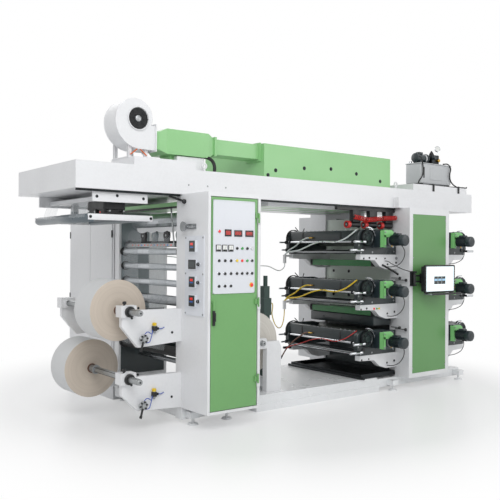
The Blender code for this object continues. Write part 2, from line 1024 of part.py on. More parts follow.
unit_heights = [unit_top_z - unit_pitch * row for row in range(3)]
tower_end = right_tower_x + right_tower_width
rear_column_y = beam_depth - right_tower_back
rear_column_back = beam_depth + right_tower_reach
unit_rear = unit_width - unit_plate
cover_x = (right_tower_x + cover_margin, tower_end - cover_margin)
cover_z = (right_tower_bottom + 0.054, beam_bottom - 0.077)
cover_face = -right_tower_reach + cover_recess


# A bracket in X and Z: side is -1 for those on the tower's left and 1 for the right.
def bracket_outline(root_x, side, reach, z):
    top = z - unit_low - gap
    return [
        (root_x - side * 0.02, top),
        (root_x + side * reach, top),
        (root_x + side * reach, top - 0.060),
        (root_x + side * reach * 0.62, top - 0.070),
        (root_x + side * reach * 0.48, top - 0.145),
        (root_x + side * reach * 0.30, top - 0.180),
        (root_x - side * 0.02, top - 0.180),
    ]


def unit_brackets(y_low, y_high):
    shapes = []
    for z in unit_heights:
        shapes.append(
            plate(bracket_outline(right_tower_x, -1, unit_reach_left - 0.05, z), y_low, y_high),
        )
        shapes.append(plate(bracket_outline(tower_end, 1, unit_reach_right - 0.05, z), y_low, y_high))
    return shapes


right_front_column = piece(
    "right_front_column",
    white_paint,
    box(
        (right_tower_x, -right_tower_reach, right_tower_bottom),
        (tower_end, right_tower_back, beam_bottom - gap),
    ),
    joined=unit_brackets(0.005, bracket_plate),
    cut=[
        box((cover_x[0], -right_tower_reach - 0.05, cover_z[0]), (cover_x[1], cover_face, cover_z[1])),
    ],
)
front_cover = piece(
    "front_cover",
    green_paint,
    box(
        (cover_x[0] + gap, cover_face - 0.009, cover_z[0] + gap),
        (cover_x[1] - gap, cover_face - gap, cover_z[1] - gap),
    ),
)
# Air hoses that sag across the open bay, from a gland on the left to a clamp on the right.

hose_diameter = 0.012
clamp_x = right_tower_x - unit_reach_left - 0.062
clamp_y = unit_width - 0.045
clamp_drop = 0.110


# A smooth curve through the route's points, cut to even steps.
def smooth_route(route, step):
    points = [Vector(point) for point in route]
    lengths = [(there - here).length for here, there in zip(points, points[1:])]
    ways = [(there - here).normalized() for here, there in zip(points, points[1:])]
    headings = [ways[0]]
    for i in range(1, len(points) - 1):
        blend = ways[i - 1] * lengths[i] + ways[i] * lengths[i - 1]
        headings.append(blend / (lengths[i - 1] + lengths[i]))
    headings.append(ways[-1])
    dense = []
    for i, length in enumerate(lengths):
        for part in range(60):
            t = part / 60
            dense.append(
                points[i] * (2 * t**3 - 3 * t**2 + 1)
                + headings[i] * length * (t**3 - 2 * t**2 + t)
                + points[i + 1] * (3 * t**2 - 2 * t**3)
                + headings[i + 1] * length * (t**3 - t**2)
            )
    dense.append(points[-1])
    distances = [0.0]
    for here, there in zip(dense, dense[1:]):
        distances.append(distances[-1] + (there - here).length)
    count = round(distances[-1] / step)
    even = []
    place = 0
    for number in range(count + 1):
        wanted = distances[-1] * number / count
        while place < len(dense) - 2 and distances[place + 1] < wanted:
            place += 1
        span = distances[place + 1] - distances[place]
        even.append(dense[place].lerp(dense[place + 1], (wanted - distances[place]) / span))
    return even


def hose(name, finish, route):
    points = smooth_route(route, 2.9 * hose_diameter)
    curve = bpy.data.curves.new(name, "CURVE")
    curve.dimensions = "3D"
    curve.bevel_depth = hose_diameter / 2
    curve.bevel_resolution = 2
    curve.use_fill_caps = True
    spline = curve.splines.new("POLY")
    spline.points.add(len(points) - 1)
    for corner, point in zip(spline.points, points):
        corner.co = (*moved(point), 1.0)
    made = bpy.data.objects.new(name, curve)
    press.objects.link(made)
    curve.materials.append(finish)
    return made


def clamp(z):
    top = z - unit_low - 0.012
    return [
        box(
            (clamp_x - 0.012, clamp_y - 0.015, top - 0.028),
            (right_tower_x - unit_reach_left + 0.07, clamp_y + 0.015, top),
        ),
        box(
            (clamp_x - 0.014, clamp_y - 0.017, top - clamp_drop),
            (clamp_x + 0.014, clamp_y + 0.017, top - 0.002),
        ),
    ]


right_rear_column = piece(
    "right_rear_column",
    white_paint,
    box(
        (right_tower_x, rear_column_y, right_tower_bottom),
        (tower_end, rear_column_back, beam_bottom - gap),
    ),
    joined=[
        *unit_brackets(unit_width - bracket_plate, unit_width - 0.005),
        *clamp(unit_heights[0]),
        *clamp(unit_heights[1]),
        box(
            (right_tower_x + 0.02, rear_column_back - 0.02, right_tower_bottom + 0.04),
            (tower_end - 0.02, rear_column_back + drive_cover_depth, beam_bottom - 0.06),
        ),
    ],
)

clamp_low = [z - unit_low - 0.012 - clamp_drop - gap for z in unit_heights]
hose(
    "white_hose",
    white_plastic,
    [
        (gland_x + gap, gland_y, gland_z),
        (gland_x + gap + 0.036, gland_y, gland_z),
        (2.20, gland_y - 0.035, gland_z - 0.105),
        (2.75, gland_y - 0.070, gland_z - 0.135),
        (3.15, clamp_y + 0.004, gland_z - 0.120),
        (clamp_x - 0.05, clamp_y + 0.002, clamp_low[0] - 0.085),
        (clamp_x, clamp_y, clamp_low[0] - 0.036),
        (clamp_x, clamp_y, clamp_low[0]),
    ],
)
hose(
    "yellow_hose",
    yellow_plastic,
    [
        (lift_x + lift_block + gap, lift_y, 1.060),
        (lift_x + lift_block + gap + 0.036, lift_y, 1.060),
        (2.90, 0.835, 0.905),
        (3.02, 0.930, 0.782),
        (3.149, 1.016, 0.715),
        (3.28, 1.110, 0.715),
        (3.385, 1.192, 0.785),
        (clamp_x, clamp_y, clamp_low[1] - 0.036),
        (clamp_x, clamp_y, clamp_low[1]),
    ],
)


# Print units: two side plates tied by the doctor chamber, the anilox roller and two rods, with
# an end cover, adjusting grips, a gearbox and a motor at the front.
# The plate cylinder turns between the plates next to the tower.

def unit_outline(root_x, side, reach, z):
    outer = root_x + side * reach
    corner_x = outer - side * 0.085
    corner_z = z + unit_high - 0.085
    rounded = []
    for step in range(6):
        angle = math.radians(18 * step)
        rounded.append(
            (corner_x + side * 0.085 * math.cos(angle), corner_z + 0.085 * math.sin(angle))
        )
    return [
        (root_x + side * 0.030, z - unit_low),
        (outer - side * 0.05, z - unit_low),
        (outer, z - unit_low + 0.07),
        *rounded,
        (root_x + side * 0.25, z + unit_high),
        (root_x + side * 0.16, z + unit_high - 0.02),
        (root_x + side * 0.030, z + unit_high - 0.02),
    ]


def print_unit(number, z, root_x, side, reach, drive_offset):
    outline = unit_outline(root_x, side, reach, z)
    cylinder_x = root_x + side * cylinder_offset
    drive_x = root_x + side * drive_offset
    end_cover_x = root_x + side * (reach - end_cover_inset)
    end_cover_z = z + end_cover_lift
    chamber_back = root_x + side * (reach - 0.10)
    chamber_front = root_x + side * (reach - 0.02)
    chamber = [
        (chamber_back, z - 0.035),
        (chamber_front, z - 0.035),
        (chamber_front, z + 0.058),
        (chamber_front - side * 0.014, z + 0.095),
        (chamber_back + side * 0.008, z + 0.095),
        (chamber_back, z + 0.080),
    ]
    motor_x = drive_x - side * 0.035
    low_rod_x = root_x + side * (reach - 0.06)
    rear_rod_x = root_x + side * (reach - 0.20)
    gearbox = (drive_x - gearbox_width / 2, drive_x + gearbox_width / 2)
    gearbox_half = 0.108
    guard_face = -gearbox_depth - guard_reach
    guard_back = -gearbox_depth + 0.070
    guard_top = [
        (gearbox[0] - 0.006, z + 0.024),
        (gearbox[1] + 0.012, z + 0.024),
        (gearbox[1] + 0.012, z + 0.070),
        (gearbox[1] - 0.008, z + 0.098),
        (gearbox[1] - 0.042, z + 0.112),
        (gearbox[0] + 0.014, z + 0.112),
        (gearbox[0] - 0.006, z + 0.096),
    ]
    bore = journal_radius + running_gap
    grips = [
        (z - 0.040, reach - 0.03, reach + 0.14, reach - 0.085, reach + 0.110),
        (z - 0.138, reach - 0.03, reach + 0.10, reach - 0.045, reach + 0.165),
    ]
    if side > 0:
        grips = [
            (z - 0.040, reach - 0.03, reach + 0.08, reach - 0.085, reach + 0.080),
            (z - 0.138, reach - 0.03, reach + 0.09, reach - 0.045, reach + 0.090),
        ]
    shapes = [
        plate(outline, unit_rear, unit_width),
        plate(chamber, 0.03, unit_width - 0.03),
        rod(
            (end_cover_x, 0.02, end_cover_z),
            (end_cover_x, unit_width - 0.02, end_cover_z),
            anilox_radius,
            sides=20,
        ),
        rod((low_rod_x, 0.02, z - 0.160), (low_rod_x, unit_width - 0.02, z - 0.160), 0.014, sides=12),
        rod((rear_rod_x, 0.02, z - 0.150), (rear_rod_x, unit_width - 0.02, z - 0.150), 0.016, sides=12),
        turned(
            [
                (0, 0.058),
                (end_cover_radius, 0.058),
                (end_cover_radius, 0.016),
                (end_cover_radius - 0.012, 0.006),
                (0.034, 0.006),
                (0.026, 0.0),
                (0, 0.0),
            ],
            end_cover_x,
            -0.048,
            end_cover_z,
            sides=28,
        ),
        rod(
            (end_cover_x, unit_width - 0.01, end_cover_z),
            (end_cover_x, unit_width + 0.035, end_cover_z),
            end_cover_radius - 0.012,
            sides=28,
        ),
        box((gearbox[0], -gearbox_depth, z - gearbox_half), (gearbox[1], 0.01, z + gearbox_half)),
        box(
            (gearbox[0] - 0.006, guard_face, z - gearbox_half + 0.006),
            (gearbox[0] + 0.030, guard_back, z + 0.030),
        ),
        plate(guard_top, guard_face, guard_back),
        turned(
            [
                (0, motor_length + 0.01),
                (motor_radius, motor_length + 0.01),
                (motor_radius, motor_length - 0.024),
                (motor_radius - 0.010, motor_length - 0.024),
                (motor_radius - 0.010, 0.068),
                (motor_radius, 0.068),
                (motor_radius, 0.014),
                (motor_radius - 0.014, 0.0),
                (0, 0.0),
            ],
            motor_x,
            -gearbox_depth - motor_length,
            z - 0.02,
            sides=24,
        ),
        box(
            (motor_x - 0.034, -gearbox_depth - 0.150, z + 0.020),
            (motor_x + 0.034, -gearbox_depth - 0.060, z + 0.062),
        ),
    ]
    # each grip's near end stands on a lug in front of the plate, its far end in line with the plate
    for level, rear_start, rear_end, front_start, front_end in grips:
        lug = sorted((root_x + side * front_start, root_x + side * (front_start + 0.040)))
        shapes += [
            rod(
                (root_x + side * rear_start, unit_width - 0.03, level),
                (root_x + side * rear_end, unit_width - 0.03, level),
                0.014,
                sides=12,
            ),
            rod(
                (root_x + side * front_start, -0.045, level),
                (root_x + side * front_end, -0.045, level),
                0.016,
                sides=12,
            ),
            box((lug[0], -0.045, level - 0.013), (lug[1], 0.010, level + 0.013)),
        ]
    unit = piece(
        f"print_unit_{number}",
        slate_paint,
        plate(outline, 0.0, unit_plate),
        joined=shapes,
        cut=[
            rod(
                (cylinder_x, unit_plate - 0.035, z),
                (cylinder_x, unit_plate + 0.02, z),
                bore,
                sides=20,
            ),
            rod((cylinder_x, unit_rear - 0.02, z), (cylinder_x, unit_rear + 0.035, z), bore, sides=20),
        ],
    )
    length = unit_rear - unit_plate
    clear = 0.008
    body = turned(
        [
            (0, length + 0.03),
            (journal_radius, length + 0.03),
            (journal_radius, length - clear),
            (cylinder_radius, length - clear),
            (cylinder_radius, clear),
            (journal_radius, clear),
            (journal_radius, -0.03),
            (0, -0.03),
        ],
        cylinder_x,
        unit_plate,
        z,
        sides=20,
    )
    piece(f"plate_cylinder_{number}", steel, body)
    pivot(f"plate_cylinder_{number}_axis", (cylinder_x, unit_plate, z), [body])
    return unit


for row, z in enumerate(unit_heights):
    print_unit(row + 1, z, right_tower_x, -1, unit_reach_left, left_drive_offset)
    print_unit(row + 4, z, tower_end, 1, unit_reach_right, right_drive_offset)


# Drying bars between the colours of the left stack, held by the columns' brackets.

bar_x = right_tower_x - 0.34
for number, row in enumerate((0, 1)):
    bar_top = unit_heights[row] - unit_low - 0.070 - 2 * gap
    piece(
        f"drying_bar_{number + 1}",
        dark_green,
        box(
            (bar_x, bracket_plate + gap, bar_top - 0.075),
            (bar_x + 0.14, unit_width - bracket_plate - gap, bar_top),
        ),
    )


# Air cylinders in a row above the upper unit, on blocks that hang from a rail under the beam.

cylinder_rail_x = (right_tower_x - 1.0, right_tower_x - 0.01)
cylinder_rail_y = 0.06
cylinder_rail_z = beam_bottom - 0.055
cylinder_shapes = []
for hang_x in (right_tower_x - 0.685, right_tower_x - 0.40, right_tower_x - 0.12):
    cylinder_shapes += [
        box(
            (hang_x - 0.066, cylinder_rail_y - 0.030, cylinder_rail_z - 0.135),
            (hang_x + 0.066, cylinder_rail_y + 0.030, cylinder_rail_z + 0.005),
        ),
        rod(
            (hang_x - 0.145, cylinder_rail_y, cylinder_rail_z - 0.165),
            (hang_x + 0.066, cylinder_rail_y, cylinder_rail_z - 0.165),
            0.034,
            sides=18,
        ),
    ]
air_cylinders = piece(
    "air_cylinders",
    black_plastic,
    box(
        (cylinder_rail_x[0], cylinder_rail_y - 0.022, cylinder_rail_z),
        (cylinder_rail_x[1], cylinder_rail_y + 0.022, beam_bottom - gap),
    ),
    joined=cylinder_shapes,
)


# Drip tray under the lowest unit, with the rail in front of it.

tray_x = (right_tower_x - 0.60, right_tower_x - gap)
tray_z = (plinth_height + gap, plinth_height + 0.055)
drip_tray = piece(
    "drip_tray",
    slate_paint,
    box((tray_x[0], 0.03, tray_z[0]), (tray_x[1], unit_width, tray_z[1])),
    joined=[
        rod(
            (tray_x[0] - 0.012, -0.03, tray_z[0] + 0.016),
            (tray_x[0] - 0.012, unit_width + 0.03, tray_z[0] + 0.016),
            0.016,
            sides=12,
        ),
    ],
    cut=[
        box(
            (tray_x[0] + 0.012, 0.042, tray_z[0] + 0.010),
            (tray_x[1] - 0.012, unit_width - 0.012, tray_z[1] + 0.02),
        ),
    ],
)


# Rewind: a stand on the deck, a shaft and a wound roll, with the lay-on lift behind the roll.

stand_y = ((0.10, 0.17), (1.20, 1.27))
bore = shaft_radius + running_gap
stand_x_range = (rewind_x + 0.065, rewind_x + 0.265)
stand_head = [
    (rewind_x - 0.055, rewind_z - 0.06),
    (rewind_x - 0.055, rewind_z + 0.05),
    (rewind_x + 0.055, rewind_z + 0.05),
    (rewind_x + 0.075, rewind_z + 0.012),
    (rewind_x + 0.235, rewind_z + 0.012),
    (rewind_x + 0.265, rewind_z - 0.06),
]
rewind_stand = piece(
    "rewind_stand",
    white_paint,
    box(
        (stand_x_range[0], stand_y[0][0], plinth_height + gap),
        (stand_x_range[1], stand_y[0][1], rewind_z - 0.05),
    ),
    joined=[
        box(
            (stand_x_range[0], stand_y[1][0], plinth_height + gap),
            (stand_x_range[1], stand_y[1][1], rewind_z - 0.05),
        ),
        plate(stand_head, *stand_y[0]),
        plate(stand_head, *stand_y[1]),
        box(
            (stand_x_range[0] + 0.06, stand_y[0][1] - 0.01, 0.20),
            (stand_x_range[1] - 0.03, stand_y[1][0] + 0.01, 0.28),
        ),
    ],
    cut=[
        rod((rewind_x, y_low - 0.1, rewind_z), (rewind_x, y_high + 0.1, rewind_z), bore, sides=24)
        for y_low, y_high in stand_y
    ],
)
rewind_shaft = piece(
    "rewind_shaft",
    steel,
    turned(
        [(0, 1.25), (shaft_radius, 1.25), (shaft_radius, 0.0), (0, 0.0)],
        rewind_x,
        0.06,
        rewind_z,
        sides=24,
    ),
)
rewind_roll = piece(
    "rewind_roll",
    paper,
    turned(
        [
            (shaft_radius + gap, roll_width),
            (rewind_radius, roll_width),
            (rewind_radius, 0.0),
            (shaft_radius + gap, 0.0),
        ],
        rewind_x,
        rewind_face_y,
        rewind_z,
        sides=48,
        ring=True,
    ),
)
pivot("rewind_axis", (rewind_x, rewind_face_y, rewind_z), [rewind_shaft, rewind_roll])

rewind_lift = piece(
    "rewind_lift",
    slate_paint,
    box((lift_x - 0.04, lift_y - 0.05, plinth_height + gap), (lift_x + 0.04, lift_y + 0.05, 1.02)),
    joined=[
        box(
            (lift_x - 0.08, lift_y - 0.09, plinth_height + gap),
            (lift_x + 0.08, lift_y + 0.09, plinth_height + 0.02),
        ),
        box(
            (lift_x - lift_block, lift_y - 0.06, 0.92),
            (lift_x + lift_block, lift_y + 0.06, 1.12),
        ),
        box((lift_x - 0.045, lift_y - 0.05, 1.11), (lift_x + 0.035, lift_y + 0.05, 1.26)),
        rod((lift_x + 0.010, lift_y, 1.25), (lift_x + 0.010, lift_y, 1.38), 0.026, sides=16),
    ],
)


# Web guide hung under the beam's left end: a fixed upper frame and a swinging lower frame
# with a roller at each end, held by a centre pivot.

guide_x = (0.15, 0.80)
guide_z = beam_bottom - 0.272
hanger_low = beam_bottom - 0.107
guide_y = (0.06, 0.08)
guide_rear = (beam_depth - 0.08, beam_depth - 0.06)
web_guide = piece(
    "web_guide",
    grey_paint,
    box((guide_x[0] + 0.04, guide_y[0], hanger_low), (guide_x[1] - 0.055, guide_y[1], beam_bottom - gap)),
    joined=[
        box(
            (guide_x[0] + 0.04, guide_rear[0], hanger_low),
            (guide_x[1] - 0.055, guide_rear[1], beam_bottom - gap),
        ),
        box(
            (guide_x[0] + 0.15, guide_y[0] + 0.01, hanger_low + 0.02),
            (guide_x[1] - 0.18, guide_rear[1] - 0.01, hanger_low + 0.06),
        ),
        box((guide_x[0], guide_y[0], guide_z), (guide_x[1], guide_y[1], guide_z + 0.055)),
        box((guide_x[0], guide_rear[0], guide_z), (guide_x[1], guide_rear[1], guide_z + 0.055)),
        rod(
            (guide_x[0] + 0.035, guide_y[0] + 0.01, guide_z + 0.020),
            (guide_x[0] + 0.035, guide_rear[1] - 0.01, guide_z + 0.020),
            0.045,
            sides=20,
        ),
        rod(
            (guide_x[1] - 0.035, guide_y[0] + 0.01, guide_z + 0.027),
            (guide_x[1] - 0.035, guide_rear[1] - 0.01, guide_z + 0.027),
            0.030,
            sides=20,
        ),
        box((guide_x[0] + 0.19, 0.16, guide_z + 0.030), (guide_x[0] + 0.43, 0.52, hanger_low + 0.03)),
        box(
            (guide_x[0] + 0.25, guide_y[0] + 0.01, guide_z + 0.020),
            (guide_x[0] + 0.37, guide_rear[1] - 0.01, guide_z + 0.050),
        ),
        box((guide_x[0] + 0.25, 1.00, guide_z + 0.035), (guide_x[0] + 0.37, 1.10, hanger_low + 0.03)),
    ],
)


# Operator screen on a swivel arm at the right tower's front.

pivot_x = right_tower_x + 0.030
pivot_y = -right_tower_reach - 0.049
swivel_z = (screen_low + 0.085, screen_low + 0.265)
swivel_bore = swivel_radius + running_gap
screen_bracket = piece(
    "screen_bracket",
    black_plastic,
    box(
        (pivot_x - 0.023, pivot_y + 0.02, swivel_z[0]),
        (pivot_x + 0.022, -right_tower_reach - gap, swivel_z[1]),
    ),
    joined=[
        box(
            (pivot_x - 0.023, pivot_y - 0.02, swivel_z[0]),
            (pivot_x + 0.022, pivot_y + 0.03, swivel_z[0] + 0.025),
        ),
        box(
            (pivot_x - 0.023, pivot_y - 0.02, swivel_z[1] - 0.025),
            (pivot_x + 0.022, pivot_y + 0.03, swivel_z[1]),
        ),
    ],
    cut=[
        rod(
            (pivot_x, pivot_y, swivel_z[0] + 0.012),
            (pivot_x, pivot_y, swivel_z[0] + 0.040),
            swivel_bore,
            sides=16,
        ),
        rod(
            (pivot_x, pivot_y, swivel_z[1] - 0.040),
            (pivot_x, pivot_y, swivel_z[1] - 0.012),
            swivel_bore,
            sides=16,
        ),
    ],
)
screen_back = pivot_y - 0.025
hub_z = (swivel_z[0] + 0.030, swivel_z[1] - 0.030)
arm_far = screen_left + 0.06
screen_arm = piece(
    "screen_arm",
    black_plastic,
    rod(
        (pivot_x, pivot_y, swivel_z[0] + 0.016),
        (pivot_x, pivot_y, swivel_z[1] - 0.016),
        swivel_radius,
        sides=16,
    ),
    joined=[
        rod((pivot_x, pivot_y, hub_z[0]), (pivot_x, pivot_y, hub_z[1]), 0.018, sides=16),
        box((pivot_x, pivot_y - 0.011, hub_z[0] + 0.015), (arm_far, pivot_y + 0.011, hub_z[0] + 0.035)),
        box((pivot_x, pivot_y - 0.011, hub_z[1] - 0.035), (arm_far, pivot_y + 0.011, hub_z[1] - 0.015)),
        box((arm_far - 0.02, screen_back, hub_z[0]), (arm_far + 0.04, pivot_y + 0.011, hub_z[1])),
    ],
)
operator_screen = piece(
    "operator_screen",
    panel_grey,
    box(
        (screen_left, screen_front, screen_low),
        (screen_left + screen_width, screen_back - gap, screen_low + screen_height),
    ),
    joined=[
        box(
            (screen_left + 0.01, screen_front - 0.10, screen_low - 0.020),
            (screen_left + screen_width - 0.01, screen_front + 0.02, screen_low + 0.005),
        ),
    ],
)
pivot(
    "screen_axis",
    (pivot_x, pivot_y, (swivel_z[0] + swivel_z[1]) / 2),
    [screen_arm, operator_screen],
)


# Round pieces are shaded smooth, with their edges kept sharp.

for shape in press.objects:
    if shape.type == "MESH":
        shape.data.shade_smooth()
        shape.data.set_sharp_from_angle(angle=math.radians(30))
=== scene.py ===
# Flexographic printing press, stack type: looks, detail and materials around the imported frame.
import math
import bmesh
import bpy
from mathutils import Matrix, Vector


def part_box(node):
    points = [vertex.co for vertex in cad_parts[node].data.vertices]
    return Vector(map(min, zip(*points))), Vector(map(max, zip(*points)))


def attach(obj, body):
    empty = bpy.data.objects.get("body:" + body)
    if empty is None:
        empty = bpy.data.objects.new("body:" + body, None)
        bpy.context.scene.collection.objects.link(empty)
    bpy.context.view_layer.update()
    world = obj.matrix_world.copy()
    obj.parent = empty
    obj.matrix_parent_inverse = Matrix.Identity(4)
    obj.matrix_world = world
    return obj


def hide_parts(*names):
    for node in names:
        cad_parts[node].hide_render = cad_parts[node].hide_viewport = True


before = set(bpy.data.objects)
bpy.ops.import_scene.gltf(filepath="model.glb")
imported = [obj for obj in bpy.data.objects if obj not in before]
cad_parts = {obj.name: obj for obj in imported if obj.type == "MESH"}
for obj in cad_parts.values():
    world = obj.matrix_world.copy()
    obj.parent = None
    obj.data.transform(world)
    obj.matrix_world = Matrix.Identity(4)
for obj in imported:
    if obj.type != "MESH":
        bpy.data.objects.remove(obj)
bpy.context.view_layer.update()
print("stage: frame loaded")

# Places are written as on the machine: X from the beam's left end, Y from its front face, Z from the floor.
machineOrigin = Vector((2.85, 1.069, 0.0))


def at(x, y, z):
    return Vector((x, y, z)) - machineOrigin


# The box round a carried-over piece, in the machine's places.
def machineBox(node):
    return [Vector(corner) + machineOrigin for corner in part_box(node)]


def newObject(name, data):
    made = bpy.data.objects.new(name, data)
    bpy.context.scene.collection.objects.link(made)
    return made


# colours and nodes

def hexColour(code):
    def linear(value):
        return value / 12.92 if value <= 0.04045 else ((value + 0.055) / 1.055) ** 2.4
    return (*[linear(int(code[i : i + 2], 16) / 255) for i in (1, 3, 5)], 1.0)


# A darker or paler tone of a colour.
def tone(colour, factor, lift=0.0):
    return (*[min(1.0, channel * factor + lift) for channel in colour[:3]], 1.0)


def perMillimetre(size):
    return 1000.0 / size


# Sets a node's inputs: a node is linked by its first output and a socket by itself, anything else is a value.
def feed(tree, node, inputs):
    for name, value in inputs.items():
        if isinstance(value, bpy.types.Node):
            value = value.outputs[0]
        if isinstance(value, bpy.types.NodeSocket):
            tree.links.new(value, node.inputs[name])
        else:
            node.inputs[name].default_value = value


# Adds a node with its inputs and settings; stops are a ramp's places and colours.
def addNode(tree, kind, inputs=None, stops=(), **settings):
    node = tree.nodes.new(kind)
    for name, value in settings.items():
        setattr(node, name, value)
    for i, (place, colour) in enumerate(stops):
        node.color_ramp.elements[i].position, node.color_ramp.elements[i].color = place, colour
    feed(tree, node, inputs or {})
    return node


# A new material with its tree, its shader and the object's own coordinates.
def newMaterial(name):
    made = bpy.data.materials.new(name)
    made.use_nodes = True
    tree = made.node_tree
    return made, tree, tree.nodes["Principled BSDF"], addNode(tree, "ShaderNodeTexCoord").outputs["Object"]


# finishes

# Stoving enamel on sheet and plate: a soft gloss with fine orange peel, faint handling
# marks and some dust low down, with the corners slightly rounded by the paint.
def stovingEnamel(name, colour, stain, roughness=0.38, peel=2.2, edge=0.003, dust=0.3):
    made, tree, shader, place = newMaterial(name)
    cloud = addNode(tree, "ShaderNodeTexNoise", {"Vector": place, "Scale": 2.3, "Detail": 6.0, "Roughness": 0.62})
    speck = addNode(tree, "ShaderNodeTexNoise",
                    {"Vector": place, "Scale": perMillimetre(28), "Detail": 4.0, "Roughness": 0.7})
    marks = addNode(tree, "ShaderNodeMath", {0: cloud, 1: speck}, operation="MULTIPLY")
    height = addNode(tree, "ShaderNodeSeparateXYZ", {"Vector": place}).outputs["Z"]
    low = addNode(tree, "ShaderNodeMapRange",
                  {"Value": height, "From Min": 0.0, "From Max": 0.55, "To Min": dust, "To Max": 0.0})
    lowMarks = addNode(tree, "ShaderNodeMath", {0: low, 1: cloud}, operation="MULTIPLY")
    wear = addNode(tree, "ShaderNodeMapRange",
                   {"Value": marks, "From Min": 0.22, "From Max": 0.42, "To Min": 0.0, "To Max": 0.1})
    share = addNode(tree, "ShaderNodeMath", {0: wear, 1: lowMarks}, operation="ADD", use_clamp=True)
    mixed = addNode(tree, "ShaderNodeMix", {"Factor": share, 6: hexColour(colour), 7: hexColour(stain)},
                    data_type="RGBA")
    gloss = addNode(tree, "ShaderNodeMapRange", {"Value": cloud, "From Min": 0.3, "From Max": 0.7,
                                                 "To Min": roughness - 0.05, "To Max": roughness + 0.09})
    rounded = addNode(tree, "ShaderNodeBevel", {"Radius": edge}, samples=4)
    skin = addNode(tree, "ShaderNodeTexNoise", {"Vector": place, "Scale": perMillimetre(peel), "Detail": 1.0})
    bump = addNode(tree, "ShaderNodeBump", {"Strength": 0.035, "Distance": 0.001, "Height": skin, "Normal": rounded})
    feed(tree, shader, {"Base Color": mixed.outputs[2], "Roughness": gloss, "Normal": bump, "IOR": 1.5,
                        "Coat Weight": 0.15, "Coat Roughness": 0.12})
    return made


# Ground or turned steel: fine lines round or along the part, a cold grey sheen with uneven oiling.
def machinedSteel(name, colour, roughness, lines=(1.0, 0.04, 1.0), pitch=1.6, metallic=1.0,
                  depth=0.72, spread=0.1, relief=0.06):
    made, tree, shader, place = newMaterial(name)
    drawn = addNode(tree, "ShaderNodeMapping", {"Vector": place, "Scale": lines})
    grain = addNode(tree, "ShaderNodeTexNoise",
                    {"Vector": drawn, "Scale": perMillimetre(pitch), "Detail": 3.0, "Roughness": 0.55})
    oil = addNode(tree, "ShaderNodeTexNoise",
                  {"Vector": place, "Scale": perMillimetre(90), "Detail": 4.0, "Roughness": 0.6})
    base = hexColour(colour)
    shade = addNode(tree, "ShaderNodeValToRGB", {"Fac": grain}, stops=((0.32, tone(base, depth)), (0.62, base)))
    both = addNode(tree, "ShaderNodeMath", {0: grain, 1: oil}, operation="ADD")
    gloss = addNode(tree, "ShaderNodeMapRange",
                    {"Value": both, "From Min": 0.6, "From Max": 1.4,
                     "To Min": max(0.05, roughness - spread), "To Max": roughness + spread})
    bump = addNode(tree, "ShaderNodeBump", {"Strength": relief, "Distance": 0.0005, "Height": grain})
    feed(tree, shader, {"Base Color": shade, "Roughness": gloss, "Normal": bump, "Metallic": metallic})
    return made


# Moulded plastic or rubber: a matt skin with a fine spark-eroded grain.
def mouldedPlastic(name, colour, roughness, grain=1.4, strength=0.12, subsurface=0.0):
    made, tree, shader, place = newMaterial(name)
    skin = addNode(tree, "ShaderNodeTexNoise", {"Vector": place, "Scale": perMillimetre(grain), "Detail": 3.0})
    patch = addNode(tree, "ShaderNodeTexNoise", {"Vector": place, "Scale": perMillimetre(60), "Detail": 4.0})
    base = hexColour(colour)
    shade = addNode(tree, "ShaderNodeValToRGB", {"Fac": patch}, stops=((0.35, base), (0.72, tone(base, 1.25, 0.006))))
    gloss = addNode(tree, "ShaderNodeMapRange", {"Value": patch, "From Min": 0.3, "From Max": 0.7,
                                                 "To Min": roughness - 0.06, "To Max": roughness + 0.08})
    bump = addNode(tree, "ShaderNodeBump", {"Strength": strength, "Distance": 0.0004, "Height": skin})
    feed(tree, shader, {"Base Color": shade, "Roughness": gloss, "Normal": bump, "IOR": 1.49,
                        "Subsurface Weight": subsurface})
    return made


# A wound reel: the edges of the web show as fine rings round the reel's axis. The true web is
# 0.05 mm thick, so the rings are drawn at a pitch that still shows.
def woundReel(name, colour, shadow, axisPlace, ringPitch=3.0, roughness=0.62):
    made, tree, shader, place = newMaterial(name)
    centred = addNode(tree, "ShaderNodeMapping", {"Vector": place, "Location": -axisPlace})
    flat = addNode(tree, "ShaderNodeMapping", {"Vector": centred, "Scale": (1.0, 0.0, 1.0)})
    radius = addNode(tree, "ShaderNodeVectorMath", {0: flat}, operation="LENGTH").outputs["Value"]
    turns = addNode(tree, "ShaderNodeMath", {0: radius, 1: perMillimetre(ringPitch)}, operation="MULTIPLY")
    rings = addNode(tree, "ShaderNodeTexNoise", {"W": turns, "Scale": 1.0, "Detail": 3.0}, noise_dimensions="1D")
    broad = addNode(tree, "ShaderNodeTexNoise", {"W": turns, "Scale": 0.1, "Detail": 2.0}, noise_dimensions="1D")
    both = addNode(tree, "ShaderNodeMath", {0: rings, 1: broad}, operation="ADD")
    half = addNode(tree, "ShaderNodeMath", {0: both, 1: 0.5}, operation="MULTIPLY")
    shade = addNode(tree, "ShaderNodeValToRGB", {"Fac": half},
                    stops=((0.34, hexColour(shadow)), (0.6, hexColour(colour))))
    bump = addNode(tree, "ShaderNodeBump", {"Strength": 0.1, "Distance": 0.0008, "Height": rings})
    feed(tree, shader, {"Base Color": shade, "Roughness": roughness, "Normal": bump, "Sheen Weight": 0.15})
    return made


